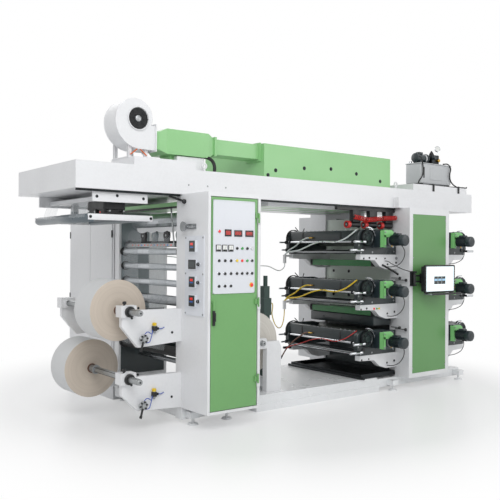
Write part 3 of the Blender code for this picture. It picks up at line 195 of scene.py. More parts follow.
# Milky polyethylene film: thin, mostly clear, with faint tension streaks along the run.
def polyFilm(name, clear, milky):
    made, tree, shader, place = newMaterial(name)
    along = addNode(tree, "ShaderNodeMapping", {"Vector": place, "Scale": (0.2, 1.0, 0.2)})
    streak = addNode(tree, "ShaderNodeTexNoise", {"Vector": along, "Scale": perMillimetre(45), "Detail": 3.0})
    shade = addNode(tree, "ShaderNodeValToRGB", {"Fac": streak},
                    stops=((0.35, hexColour(clear)), (0.65, hexColour(milky))))
    cover = addNode(tree, "ShaderNodeMapRange",
                    {"Value": streak, "From Min": 0.3, "From Max": 0.7, "To Min": 0.2, "To Max": 0.3})
    bump = addNode(tree, "ShaderNodeBump", {"Strength": 0.08, "Distance": 0.002, "Height": streak})
    feed(tree, shader, {"Base Color": shade, "Alpha": cover, "Normal": bump, "Roughness": 0.22, "Coat Weight": 0.3})
    return made


# A lit or clear lens: smooth coloured acrylic, faintly mottled inside.
def lampLens(name, colour, glow):
    made, tree, shader, place = newMaterial(name)
    base = hexColour(colour)
    mottle = addNode(tree, "ShaderNodeTexNoise", {"Vector": place, "Scale": perMillimetre(6)})
    shade = addNode(tree, "ShaderNodeValToRGB", {"Fac": mottle}, stops=((0.3, tone(base, 0.6)), (0.6, base)))
    feed(tree, shader, {"Base Color": shade, "Roughness": 0.16, "Emission Color": base, "Emission Strength": glow,
                        "Coat Weight": 0.6})
    return made


whiteEnamel = stovingEnamel("white_stoving_enamel", "#E9EAEC", "#B9BABA", 0.34)
# The deck's white is paler than the frames' white enamel: painted light on the plinth top, which stands in shade.
litDeckEnamel = stovingEnamel("white_deck_enamel_with_painted_light", "#F0F2F4", "#BFC0BE", 0.26)
doorGreen = stovingEnamel("mid_green_enamel", "#74AB6A", "#5B8C55", 0.36)
towerGreen = stovingEnamel("tower_panel_green_enamel", "#64995B", "#4F8049", 0.36)
ductGreen = stovingEnamel("pale_green_duct_enamel", "#92C98B", "#78AD72", 0.36, dust=0.0)
unitGreen = stovingEnamel("light_green_drive_enamel", "#86CF80", "#6CB067", 0.34)
barGreen = stovingEnamel("dark_green_dryer_enamel", "#2A8542", "#1C5E2D", 0.3)
unitSlate = stovingEnamel("black_green_unit_enamel", "#2A3335", "#3C4748", 0.32, peel=3.0, edge=0.002, dust=0.0)
motorSlate = stovingEnamel("blue_slate_motor_enamel", "#222E33", "#324045", 0.34, edge=0.001, dust=0.0)
liftSlate = stovingEnamel("dark_green_lift_enamel", "#26403A", "#39544D", 0.36, edge=0.001, dust=0.0)
tankGrey = stovingEnamel("light_grey_tank_enamel", "#C4C7C9", "#9A9D9E", dust=0.0)
panelGrey = stovingEnamel("pale_grey_panel_enamel", "#E2E5EB", "#C6C9CD", 0.34, edge=0.001, dust=0.0)
# The inner wall's pale green is made paler than its paint: painted light on a face that stands in shade.
litWallEnamel = stovingEnamel("pale_green_wall_enamel_with_painted_light", "#E6F0E6", "#CADBCB", 0.4, dust=0.0)
# Grey enamel for the dancer discs, also laid on the far frame's inner face as painted shade.
discGreyAndWallShade = stovingEnamel("grey_disc_enamel_and_back_wall_painted_shade", "#7F898D", "#646E72", 0.36, dust=0.0)
guideSlate = stovingEnamel("slate_guide_roller_enamel", "#58646B", "#475259", 0.3, dust=0.0)
evenLines = (1.0, 1.0, 1.0)
dullSteel = machinedSteel("zinc_plated_steel", "#A6A9AA", 0.36, evenLines, 3.5)
darkSteel = machinedSteel("blackened_steel", "#3A3D3F", 0.4, evenLines, 4.0)
chromedSteel = machinedSteel("hard_chromed_rod", "#D4D7DA", 0.12)
rollerShell = machinedSteel("turned_roller_shell", "#C3C7CB", 0.3, (0.05, 1.0, 0.05), 45.0, 0.7, 0.92, 0.02, 0.01)
drawnRoller = machinedSteel("brushed_roller_sleeve", "#9DA0A3", 0.3, (1.0, 0.05, 1.0), 1.4)
castAluminium = machinedSteel("cast_aluminium", "#B4B7B9", 0.44, evenLines, 2.2)
brassFitting = machinedSteel("turned_brass", "#C7A254", 0.26, evenLines, 1.5)
ceramicRoller = machinedSteel("engraved_ceramic_roller", "#3D4143", 0.42, (1.0, 0.3, 1.0), 1.0, 0.35)
plateRubber = mouldedPlastic("photopolymer_plate", "#50544F", 0.4, 2.0, 0.05)
blackPlastic = mouldedPlastic("black_moulded_nylon", "#17181A", 0.42)
blackRubber = mouldedPlastic("black_nitrile_rubber", "#131415", 0.62, 2.0, 0.2)
whitePlastic = mouldedPlastic("milky_nylon_hose", "#D6DDDA", 0.32, subsurface=0.05)
yellowPlastic = mouldedPlastic("yellow_polyurethane_hose", "#DDBB23", 0.34, subsurface=0.05)
redPlastic = mouldedPlastic("red_polyurethane_hose", "#BE2420", 0.34, subsurface=0.04)
blueHose = mouldedPlastic("blue_polyurethane_hose", "#3A55A8", 0.36, subsurface=0.04)
brownPlastic = mouldedPlastic("brown_rubber_hose", "#6A4A3C", 0.5)
orangePlastic = mouldedPlastic("orange_cable_sheath", "#D0622B", 0.46)
meterWhite = mouldedPlastic("white_meter_face", "#E8EAE6", 0.5, 0.8, 0.04)
glassDark = lampLens("dark_display_window", "#101314", 0.0)
redLens = lampLens("red_lamp_lens", "#D4231C", 0.5)
greenLens = lampLens("green_lamp_lens", "#2C9A43", 0.25)
yellowLens = lampLens("yellow_lamp_lens", "#E2C22C", 0.25)
whiteLens = lampLens("white_lamp_lens", "#DFE3E3", 0.1)
blueLens = lampLens("blue_display_digits", "#3467B8", 0.4)
redDigits = lampLens("red_display_digits", "#E0352B", 0.9)
screenGlow = lampLens("lit_screen_field", "#E6F4F8", 0.75)
screenBlue = lampLens("lit_screen_band", "#8FB9D6", 0.6)
screenGrey = lampLens("lit_screen_tile", "#B9CBD1", 0.55)
clearFilm = polyFilm("milky_polyethylene_film", "#C3CACF", "#D3D9DC")
print("stage: finishes made")


# shapes, all added to one bmesh with a material slot number

def paintFaces(shape, faces, slot):
    bmesh.ops.recalc_face_normals(shape, faces=faces)
    for face in faces:
        face.material_index = slot


# Unit vectors along an axis and across it.
def axesOf(direction):
    axis = Vector(direction).normalized()
    side = axis.orthogonal().normalized()
    return axis, side, axis.cross(side)


def addLoop(shape, centre, side, other, radius, sides):
    angles = [2 * math.pi * i / sides for i in range(sides)]
    return [shape.verts.new(centre + (side * math.cos(a) + other * math.sin(a)) * radius) for a in angles]


# Faces between two loops; a loop of one point closes to a tip.
def bridgeLoops(shape, here, there):
    faces = []
    for i in range(max(len(here), len(there))):
        j = (i + 1) % max(len(here), len(there))
        if len(here) == 1 and len(there) == 1:
            continue
        if len(here) == 1:
            faces.append(shape.faces.new((here[0], there[j], there[i])))
        elif len(there) == 1:
            faces.append(shape.faces.new((here[i], here[j], there[0])))
        else:
            faces.append(shape.faces.new((here[i], here[j], there[j], there[i])))
    return faces


def addBox(shape, low, high, slot=0, bevel=0.0, segments=1):
    corners = bmesh.ops.create_cube(shape, size=1.0)["verts"]
    middle = (at(*low) + at(*high)) / 2
    size = [abs(high[i] - low[i]) for i in range(3)]
    for vert in corners:
        vert.co = Vector([vert.co[i] * size[i] for i in range(3)]) + middle
    faces = {face for vert in corners for face in vert.link_faces}
    for face in faces:
        face.material_index = slot
    if bevel > 0:
        edges = list({edge for face in faces for edge in face.edges})
        bmesh.ops.bevel(shape, geom=edges, offset=min(bevel, 0.45 * min(size)), segments=segments,
                        profile=0.5, affect="EDGES", material=slot)


# A turned body: profile is (distance along the axis, radius), closed at radius 0 or with flat caps.
def addTurned(shape, start, direction, profile, slot=0, sides=32):
    axis, side, other = axesOf(direction)
    loops = []
    for distance, radius in profile:
        centre = at(*start) + axis * distance
        if radius < 1e-6:
            loops.append([shape.verts.new(centre)])
        else:
            loops.append(addLoop(shape, centre, side, other, radius, sides))
    faces = [face for here, there in zip(loops, loops[1:]) for face in bridgeLoops(shape, here, there)]
    if len(loops[0]) > 1:
        faces.append(shape.faces.new(list(reversed(loops[0]))))
    if len(loops[-1]) > 1:
        faces.append(shape.faces.new(loops[-1]))
    paintFaces(shape, faces, slot)


# A turned body that starts and ends square on its axis.
def addKnob(shape, start, direction, profile, slot=0, sides=32):
    addTurned(shape, start, direction, [(profile[0][0], 0.0), *profile, (profile[-1][0], 0.0)], slot, sides)


def addRod(shape, start, end, radius, slot=0, sides=24, chamfer=None):
    along = at(*end) - at(*start)
    cut = min(0.002, radius * 0.25, along.length * 0.3) if chamfer is None else chamfer
    profile = [(0.0, radius - cut), (cut, radius), (along.length - cut, radius), (along.length, radius - cut)]
    addTurned(shape, start, along, profile, slot, sides)


# A ring, turned about an axis: closed section of (distance, radius) points.
def addRing(shape, start, direction, section, slot=0, sides=32):
    axis, side, other = axesOf(direction)
    loops = [addLoop(shape, at(*start) + axis * distance, side, other, radius, sides) for distance, radius in section]
    faces = [face for here, there in zip(loops, [*loops[1:], loops[0]]) for face in bridgeLoops(shape, here, there)]
    paintFaces(shape, faces, slot)


# A ring with a square section.
def addBand(shape, start, direction, width, inside, outside, slot=0, sides=32):
    section = [(0, inside), (0, outside), (width, outside), (width, inside)]
    addRing(shape, start, direction, section, slot, sides)


# A plate: its outline in X and Z with a thickness along Y, or in Y and Z with a thickness along X.
def addPlate(shape, outline, low, high, slot=0, bevel=0.0015, alongX=False):
    near, far = ([shape.verts.new(at(level, a, b) if alongX else at(a, level, b)) for a, b in outline]
                 for level in (low, high))
    faces = [shape.faces.new(near), shape.faces.new(list(reversed(far)))]
    for i in range(len(outline)):
        j = (i + 1) % len(outline)
        faces.append(shape.faces.new((near[j], near[i], far[i], far[j])))
    rims = [edge for face in faces[:2] for edge in face.edges]
    paintFaces(shape, faces, slot)
    if bevel > 0:
        bmesh.ops.bevel(shape, geom=rims, offset=bevel, segments=1, profile=0.5, affect="EDGES", material=slot)


# A smooth curve through a route's points, cut to even steps (the same way as in the part's source).
def smoothRoute(route, step):
    points = [Vector(point) for point in route]
    lengths = [(there - here).length for here, there in zip(points, points[1:])]
    ways = [(there - here).normalized() for here, there in zip(points, points[1:])]
    headings = [ways[0]]
    for i in range(1, len(points) - 1):
        blend = ways[i - 1] * lengths[i] + ways[i] * lengths[i - 1]
        headings.append(blend / (lengths[i - 1] + lengths[i]))
    headings.append(ways[-1])
    dense = []
    for i, length in enumerate(lengths):
        for part in range(60):
            t = part / 60
            dense.append(
                points[i] * (2 * t**3 - 3 * t**2 + 1)
                + headings[i] * length * (t**3 - 2 * t**2 + t)
                + points[i + 1] * (3 * t**2 - 2 * t**3)
                + headings[i + 1] * length * (t**3 - t**2)
            )
    dense.append(points[-1])
    distances = [0.0]
    for here, there in zip(dense, dense[1:]):
        distances.append(distances[-1] + (there - here).length)
    count = max(2, round(distances[-1] / step))
    even = []
    place = 0
    for number in range(count + 1):
        wanted = distances[-1] * number / count
        while place < len(dense) - 2 and distances[place + 1] < wanted:
            place += 1
        span = distances[place + 1] - distances[place]
        even.append(at(*dense[place].lerp(dense[place + 1], (wanted - distances[place]) / span)))
    return even, distances[-1]


# A round tube along a route, with closed ends.
def addTube(shape, route, radius, slot=0, sides=12, step=0.02):
    points, _ = smoothRoute(route, step)
    loops = []
    side = None
    for i, point in enumerate(points):
        way = (points[min(i + 1, len(points) - 1)] - points[max(i - 1, 0)]).normalized()
        side = way.orthogonal() if side is None else side - way * side.dot(way)
        side.normalize()
        loops.append(addLoop(shape, point, side, way.cross(side), radius, sides))
    faces = [shape.faces.new(list(reversed(loops[0]))), shape.faces.new(loops[-1])]
    for here, there in zip(loops, loops[1:]):
        faces += bridgeLoops(shape, here, there)
    paintFaces(shape, faces, slot)


# Places spaced evenly on a circle in X and Z.
def circlePoints(x, z, radius, count, first=0.0):
    angles = [math.radians(first + 360 / count * i) for i in range(count)]
    return [(x + radius * math.cos(a), z + radius * math.sin(a)) for a in angles]


def finishShape(name, shape, finishes, body, replaced=(), angle=35):
    mesh = bpy.data.meshes.new(name)
    shape.to_mesh(mesh)
    shape.free()
    for finish in finishes:
        mesh.materials.append(finish)
    mesh.shade_smooth()
    mesh.set_sharp_from_angle(angle=math.radians(angle))
    made = newObject(name, mesh)
    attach(made, body)
    if replaced:
        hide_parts(*replaced)
    return made


# camera, lights and floor

camera = {"place": (-2.5645, -5.7882, 1.6543), "yaw": 37.716, "pitch": 0.184, "roll": 0.377, "lens": 51.212}


def makeCamera():
    yaw, pitch, roll = (math.radians(camera[key]) for key in ("yaw", "pitch", "roll"))
    ahead = Vector((math.sin(yaw) * math.cos(pitch), math.cos(yaw) * math.cos(pitch), math.sin(pitch)))
    level = Vector((math.cos(yaw), -math.sin(yaw), 0.0))
    upright = level.cross(ahead)
    right = level * math.cos(roll) + upright * math.sin(roll)
    up = upright * math.cos(roll) - level * math.sin(roll)
    made = newObject("camera", bpy.data.cameras.new("camera"))
    made.data.lens = camera["lens"]
    made.data.sensor_width = 36.0
    made.data.clip_start = 0.1
    made.data.clip_end = 200.0
    turn = Matrix((right, up, -ahead)).transposed().to_4x4()
    made.matrix_world = Matrix.Translation(at(*camera["place"])) @ turn
    bpy.context.scene.camera = made


studio = {
    "world": 0.54, "floor": "#F4F5F6", "floorSize": 60.0, "fade": (1.9, 4.3), "shine": 0.35,
    # place, target, size and power of each lamp
    "key_lamp": ((-1.5, -5.0, 5.6), (2.6, 0.4, 1.2), (5.0, 3.0), 215.0),
    "fill_lamp": ((7.5, -5.5, 3.6), (3.5, 0.2, 1.2), (4.0, 3.0), 75.0),
    "rim_lamp": ((3.0, 6.5, 5.0), (3.0, 0.8, 1.6), (6.0, 3.0), 80.0),
}
pureWhite = (1.0, 1.0, 1.0, 1.0)


def softLamp(name):
    place, target, size, power = studio[name]
    light = bpy.data.lights.new(name, "AREA")
    light.shape = "RECTANGLE"
    light.size, light.size_y = size
    light.energy = power
    made = newObject(name, light)
    made.location = at(*place)
    made.rotation_mode = "QUATERNION"
    made.rotation_quaternion = (at(*target) - at(*place)).to_track_quat("-Z", "Y")


# 1 for rays that come straight from the view or from a mirror, and 0 for light that falls on something.
def straightRays(tree):
    path = addNode(tree, "ShaderNodeLightPath").outputs
    seen = {0: path["Is Camera Ray"], 1: path["Is Glossy Ray"]}
    return path, addNode(tree, "ShaderNodeMath", seen, operation="MAXIMUM")


def makeStudio():
    world = bpy.data.worlds.new("studio")
    bpy.context.scene.world = world
    world.use_nodes = True
    tree = world.node_tree
    feed(tree, tree.nodes["Background"], {"Color": pureWhite, "Strength": studio["world"]})
    seen = addNode(tree, "ShaderNodeBackground", {"Color": pureWhite, "Strength": 1.0})
    path, direct = straightRays(tree)
    share = addNode(tree, "ShaderNodeMath", {0: direct, 1: path["Is Transmission Ray"]}, operation="MAXIMUM")
    mixed = addNode(tree, "ShaderNodeMixShader", {0: share, 1: tree.nodes["Background"], 2: seen})
    feed(tree, tree.nodes["World Output"], {"Surface": mixed})
    shape = bmesh.new()
    bmesh.ops.create_grid(shape, x_segments=1, y_segments=1, size=studio["floorSize"])
    mesh = bpy.data.meshes.new("studio_floor")
    shape.to_mesh(mesh)
    shape.free()
    newObject("studio_floor", mesh)
    # the floor fades into the white background round the machine
    paint, tree, shader, place = newMaterial("pale_studio_floor")
    feed(tree, shader, {"Base Color": hexColour(studio["floor"]), "Roughness": 0.32})
    reach = addNode(tree, "ShaderNodeVectorMath", {0: place}, operation="LENGTH").outputs["Value"]
    start, end = studio["fade"]
    fade = addNode(tree, "ShaderNodeMapRange", {"Value": reach, "From Min": start, "From Max": end},
                   interpolation_type="SMOOTHSTEP")
    direct = straightRays(tree)[1]
    share = addNode(tree, "ShaderNodeMath", {0: fade, 1: direct}, operation="MULTIPLY")
    least = addNode(tree, "ShaderNodeMapRange", {"Value": direct, "To Min": 0.0, "To Max": studio["shine"]})
    most = addNode(tree, "ShaderNodeMath", {0: share, 1: least}, operation="MAXIMUM")
    glow = addNode(tree, "ShaderNodeEmission", {"Color": pureWhite, "Strength": 1.0})
    mixed = addNode(tree, "ShaderNodeMixShader", {0: most, 1: shader, 2: glow})
    feed(tree, tree.nodes["Material Output"], {"Surface": mixed})
    mesh.materials.append(paint)
    for lamp in ("key_lamp", "fill_lamp", "rim_lamp"):
        softLamp(lamp)


makeCamera()
makeStudio()
bpy.context.scene.view_settings.view_transform = "Standard"
print("stage: camera and studio")


# air hoses across the open bay, in the same place as their solids

hoses = {
    "diameter": 0.012,
    "white": [
        (1.7203, 1.34, 1.6), (1.7563, 1.34, 1.6), (2.2, 1.305, 1.495), (2.75, 1.27, 1.465),
        (3.15, 1.239, 1.48), (3.386, 1.237, 1.4307), (3.436, 1.235, 1.4797), (3.436, 1.235, 1.5157),
    ],
    "yellow": [
        (2.7453, 0.72, 1.06), (2.7813, 0.72, 1.06), (2.9, 0.835, 0.905), (3.02, 0.93, 0.782),
        (3.149, 1.016, 0.715), (3.28, 1.11, 0.715), (3.385, 1.192, 0.785),
        (3.436, 1.235, 0.8847), (3.436, 1.235, 0.9207),
    ],
}


def makeHose(name, route, finish, diameter, node=None):
    points, length = smoothRoute(route, 2.9 * diameter)
    curve = bpy.data.curves.new(name, "CURVE")
    curve.dimensions = "3D"
    curve.bevel_depth = diameter / 2
    curve.bevel_resolution = 4
    curve.use_fill_caps = True
    spline = curve.splines.new("POLY")
    spline.points.add(len(points) - 1)
    for corner, point in zip(spline.points, points):
        corner.co = (*point, 1.0)
    curve.materials.append(finish)
    made = newObject(name, curve)
    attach(made, "press")
    if node:
        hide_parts(node)
    print("hose", name, round(length, 3))


makeHose("white_air_hose", hoses["white"], whitePlastic, hoses["diameter"], "white_hose")
makeHose("yellow_air_hose", hoses["yellow"], yellowPlastic, hoses["diameter"], "yellow_hose")
print("stage: hoses laid")


# Geometry Nodes trees for what repeats; an input is a label with its default value

def newTree(name, **inputs):
    tree = bpy.data.node_groups.new(name, "GeometryNodeTree")
    kinds = {int: "NodeSocketInt", float: "NodeSocketFloat", str: "NodeSocketGeometry"}
    for label, value in inputs.items():
        socket = tree.interface.new_socket(name=label, in_out="INPUT", socket_type=kinds[type(value)])
        if not isinstance(value, str):
            socket.default_value = value
    tree.interface.new_socket(name="finish", in_out="INPUT", socket_type="NodeSocketMaterial")
    tree.interface.new_socket(name="Geometry", in_out="OUTPUT", socket_type="NodeSocketGeometry")
    return tree, tree.nodes.new("NodeGroupInput").outputs


def closeTree(tree, geometry, given):
    real = addNode(tree, "GeometryNodeRealizeInstances", {"Geometry": geometry})
    dressed = addNode(tree, "GeometryNodeSetMaterial", {"Geometry": real, "Material": given["finish"]})
    addNode(tree, "NodeGroupOutput", {"Geometry": dressed})
    return tree


# Runs a tree on a mesh (or on nothing) and gives back a plain mesh.
def treeMesh(tree, values, source=None):
    carrier = newObject("carrier", source or bpy.data.meshes.new("empty"))
    modifier = carrier.modifiers.new("shape", "NODES")
    modifier.node_group = tree
    for item in tree.interface.items_tree:
        if item.item_type == "SOCKET" and item.in_out == "INPUT" and item.name in values:
            modifier[item.identifier] = values[item.name]
    graph = bpy.context.evaluated_depsgraph_get()
    mesh = bpy.data.meshes.new_from_object(carrier.evaluated_get(graph))
    bpy.data.objects.remove(carrier, do_unlink=True)
    return mesh


# Hex screws with washers, one on each point, standing along the point's facing.
def makeScrewTree():
    tree, given = newTree("screws_on_points", points="", radius=0.008, height=0.006, sides=6)
    head = addNode(tree, "GeometryNodeMeshCylinder",
                   {"Vertices": given["sides"], "Radius": given["radius"], "Depth": given["height"]})
    rise = addNode(tree, "ShaderNodeMath", {0: given["height"], 1: 0.62}, operation="MULTIPLY")
    lift = addNode(tree, "ShaderNodeCombineXYZ", {"Z": rise})
    raised = addNode(tree, "GeometryNodeTransform", {"Geometry": head, "Translation": lift})
    wide = addNode(tree, "ShaderNodeMath", {0: given["radius"], 1: 1.55}, operation="MULTIPLY")
    thick = addNode(tree, "ShaderNodeMath", {0: given["height"], 1: 0.3}, operation="MULTIPLY")
    washer = addNode(tree, "GeometryNodeMeshCylinder", {"Vertices": 14, "Radius": wide, "Depth": thick})
    both = addNode(tree, "GeometryNodeJoinGeometry", {"Geometry": washer})
    feed(tree, both, {"Geometry": raised})
    facing = addNode(tree, "GeometryNodeInputNamedAttribute", {"Name": "facing"}, data_type="FLOAT_VECTOR")
    turn = addNode(tree, "FunctionNodeAlignRotationToVector", {"Vector": facing}, axis="Z")
    screws = addNode(tree, "GeometryNodeInstanceOnPoints",
                     {"Points": given["points"], "Instance": both, "Rotation": turn})
    return closeTree(tree, screws, given)


# Cooling ribs standing round a motor's shell, along Z before they are placed.
def makeRibTree():
    tree, given = newTree("motor_ribs", count=26, shellRadius=0.058, ribDepth=0.01, ribWidth=0.003, length=0.14)
    circle = addNode(tree, "GeometryNodeCurvePrimitiveCircle",
                     {"Resolution": given["count"], "Radius": given["shellRadius"]})
    size = addNode(tree, "ShaderNodeCombineXYZ",
                   {"X": given["ribDepth"], "Y": given["ribWidth"], "Z": given["length"]})
    rib = addNode(tree, "GeometryNodeMeshCube", {"Size": size})
    place = addNode(tree, "GeometryNodeInputPosition")
    turn = addNode(tree, "FunctionNodeAlignRotationToVector", {"Vector": place}, axis="X")
    ribs = addNode(tree, "GeometryNodeInstanceOnPoints", {"Points": circle, "Instance": rib, "Rotation": turn})
    return closeTree(tree, ribs, given)


# A coiled air line: a spiral with a round section, along Z before it is placed.
def makeCoilTree():
    tree, given = newTree("coiled_line", turns=18.0, coilRadius=0.02, length=0.3, lineRadius=0.0035, steps=16)
    spiral = addNode(tree, "GeometryNodeCurveSpiral",
                     {"Resolution": given["steps"], "Rotations": given["turns"], "Height": given["length"],
                      "Start Radius": given["coilRadius"], "End Radius": given["coilRadius"]})
    section = addNode(tree, "GeometryNodeCurvePrimitiveCircle", {"Resolution": 6, "Radius": given["lineRadius"]})
    solid = addNode(tree, "GeometryNodeCurveToMesh",
                    {"Curve": spiral, "Profile Curve": section, "Fill Caps": True})
    smooth = addNode(tree, "GeometryNodeSetShadeSmooth", {"Geometry": solid})
    return closeTree(tree, smooth, given)


screwTree, ribTree, coilTree = makeScrewTree(), makeRibTree(), makeCoilTree()


def screwPiece(name, places, radius, height, finish, body="press", sides=6):
    cloud = bpy.data.meshes.new(name)
    cloud.from_pydata([at(*place) for place, _ in places], [], [])
    facing = cloud.attributes.new("facing", "FLOAT_VECTOR", "POINT")
    for i, (_, way) in enumerate(places):
        facing.data[i].vector = way
    values = {"radius": radius, "height": height, "sides": sides, "finish": finish}
    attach(newObject(name, treeMesh(screwTree, values, cloud)), body)


# Places one tree result several times as one piece; every place is a 4x4 matrix.
def repeatedPiece(name, tree, matrices, body="press", **values):
    mesh = treeMesh(tree, values)
    shape = bmesh.new()
    for matrix in matrices:
        copy = mesh.copy()
        copy.transform(matrix)
        shape.from_mesh(copy)
        bpy.data.meshes.remove(copy)
    whole = bpy.data.meshes.new(name)
    shape.to_mesh(whole)
    shape.free()
    for finish in mesh.materials:
        whole.materials.append(finish)
    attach(newObject(name, whole), body)


def turnedToY(x, y, z):
    return Matrix.Translation(at(x, y, z)) @ Matrix.Rotation(-math.pi / 2, 4, "X")


front, back, left, up = (0, -1, 0), (0, 1, 0), (-1, 0, 0), (0, 0, 1)
print("stage: trees made")


# finishes of the solids that stay as they are
solidFinishes = [
    (litDeckEnamel, "base_frame"), (doorGreen, "cabinet_door"), (ductGreen, "air_duct dryer_hood"),
    (whiteEnamel, "left_front_frame left_rear_frame upper_front_arm upper_rear_arm lower_front_arm lower_rear_arm"),
    (whiteEnamel, "control_cabinet rear_cabinet overhead_beam right_front_column right_rear_column rewind_stand"),
    (towerGreen, "front_cover"), (darkSteel, "drip_tray"), (barGreen, "drying_bar_1 drying_bar_2"),
    (blackPlastic, "screen_bracket screen_arm"), (castAluminium, "guide_knobs"), (liftSlate, "rewind_lift"),
    (panelGrey, "tension_panel"), (rollerShell, "web_roller_1 web_roller_2 web_roller_3 chill_roller"),
    (drawnRoller, "tension_roller"), (blackRubber, "nip_roller"),
    (plateRubber, " ".join(f"plate_cylinder_{number}" for number in range(1, 7))),
]
for finish, nodes in solidFinishes:
    for node in nodes.split():
        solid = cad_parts[node]
        if solid.material_slots:
            for slot in solid.material_slots:
                slot.material = finish
        else:
            solid.data.materials.append(finish)
print("stage: solids dressed")


# print units: side plates, doctor chamber, anilox roller, rods, grips, gearbox and motor
unit = {
    "heights": [1.825, 1.23, 0.635], "plate": 0.06, "width": 1.28, "low": 0.187, "high": 0.105, "round": 0.085,
    "leftRoot": 4.198, "leftReach": 0.7, "leftDrive": 0.363,
    "rightRoot": 4.962, "rightReach": 0.62, "rightDrive": 0.208, "cylinder": 0.125,
    "coverInset": 0.145, "coverLift": 0.01, "coverRadius": 0.102,
    # level, far end, and start and end of the near grip, measured from the plates' outer edge
    "leftHandles": ((-0.04, 0.14, -0.085, 0.11), (-0.138, 0.1, -0.045, 0.165)),
    "rightHandles": ((-0.04, 0.08, -0.085, 0.08), (-0.138, 0.09, -0.045, 0.09)),
    "gearboxWidth": 0.19, "gearboxDepth": 0.17, "motorRadius": 0.068, "motorLength": 0.24,
}
unitFinishes = [unitSlate, dullSteel, chromedSteel, motorSlate, unitGreen, blackPlastic, ceramicRoller, castAluminium,
    brassFitting, darkSteel, whiteEnamel, blackRubber]


def unitOutline(root, side, reach, z):
    low, high, radius = unit["low"], unit["high"], unit["round"]
    corner = circlePoints(reach - radius, high - radius, radius, 40)[:11]
    points = [(0.03, -low), (reach - 0.05, -low), (reach, 0.07 - low), *corner, (0.25, high), (0.16, high - 0.02),
        (0.03, high - 0.02)]
    return [(root + side * x, z + rise) for x, rise in points]


# An adjusting handle along X: a thick bright grip on a lug at the near side, a thin one behind a
# black knob at the far side.
def addHandle(shape, start, side, span, y, level, near):
    end = start + side * span
    if near:
        addKnob(shape, (start, y, level), (side, 0, 0), [(0, 0.012), (0.004, 0.016), (span * 0.2, 0.016),
            (span * 0.24, 0.013), (span * 0.27, 0.013), (span * 0.3, 0.0165), (span - 0.008, 0.0165), (span, 0.011)],
            2, 28)
        lug = sorted((start, start + side * 0.04))
        addBox(shape, (lug[0], -0.045, level - 0.013), (lug[1], 0.003, level + 0.013), 9, 0.003)
        return
    addRod(shape, (start, y, level), (start + side * span * 0.5, y, level), 0.009, 9, sides=16)
    addRod(shape, (start + side * span * 0.4, y, level), (end, y, level), 0.0105, 2, sides=18)
    addKnob(shape, (start + side * span * 0.24, y, level), (side, 0, 0), [(0, 0.018), (0.004, 0.022), (0.024, 0.022),
        (0.028, 0.018)], 5, 16)


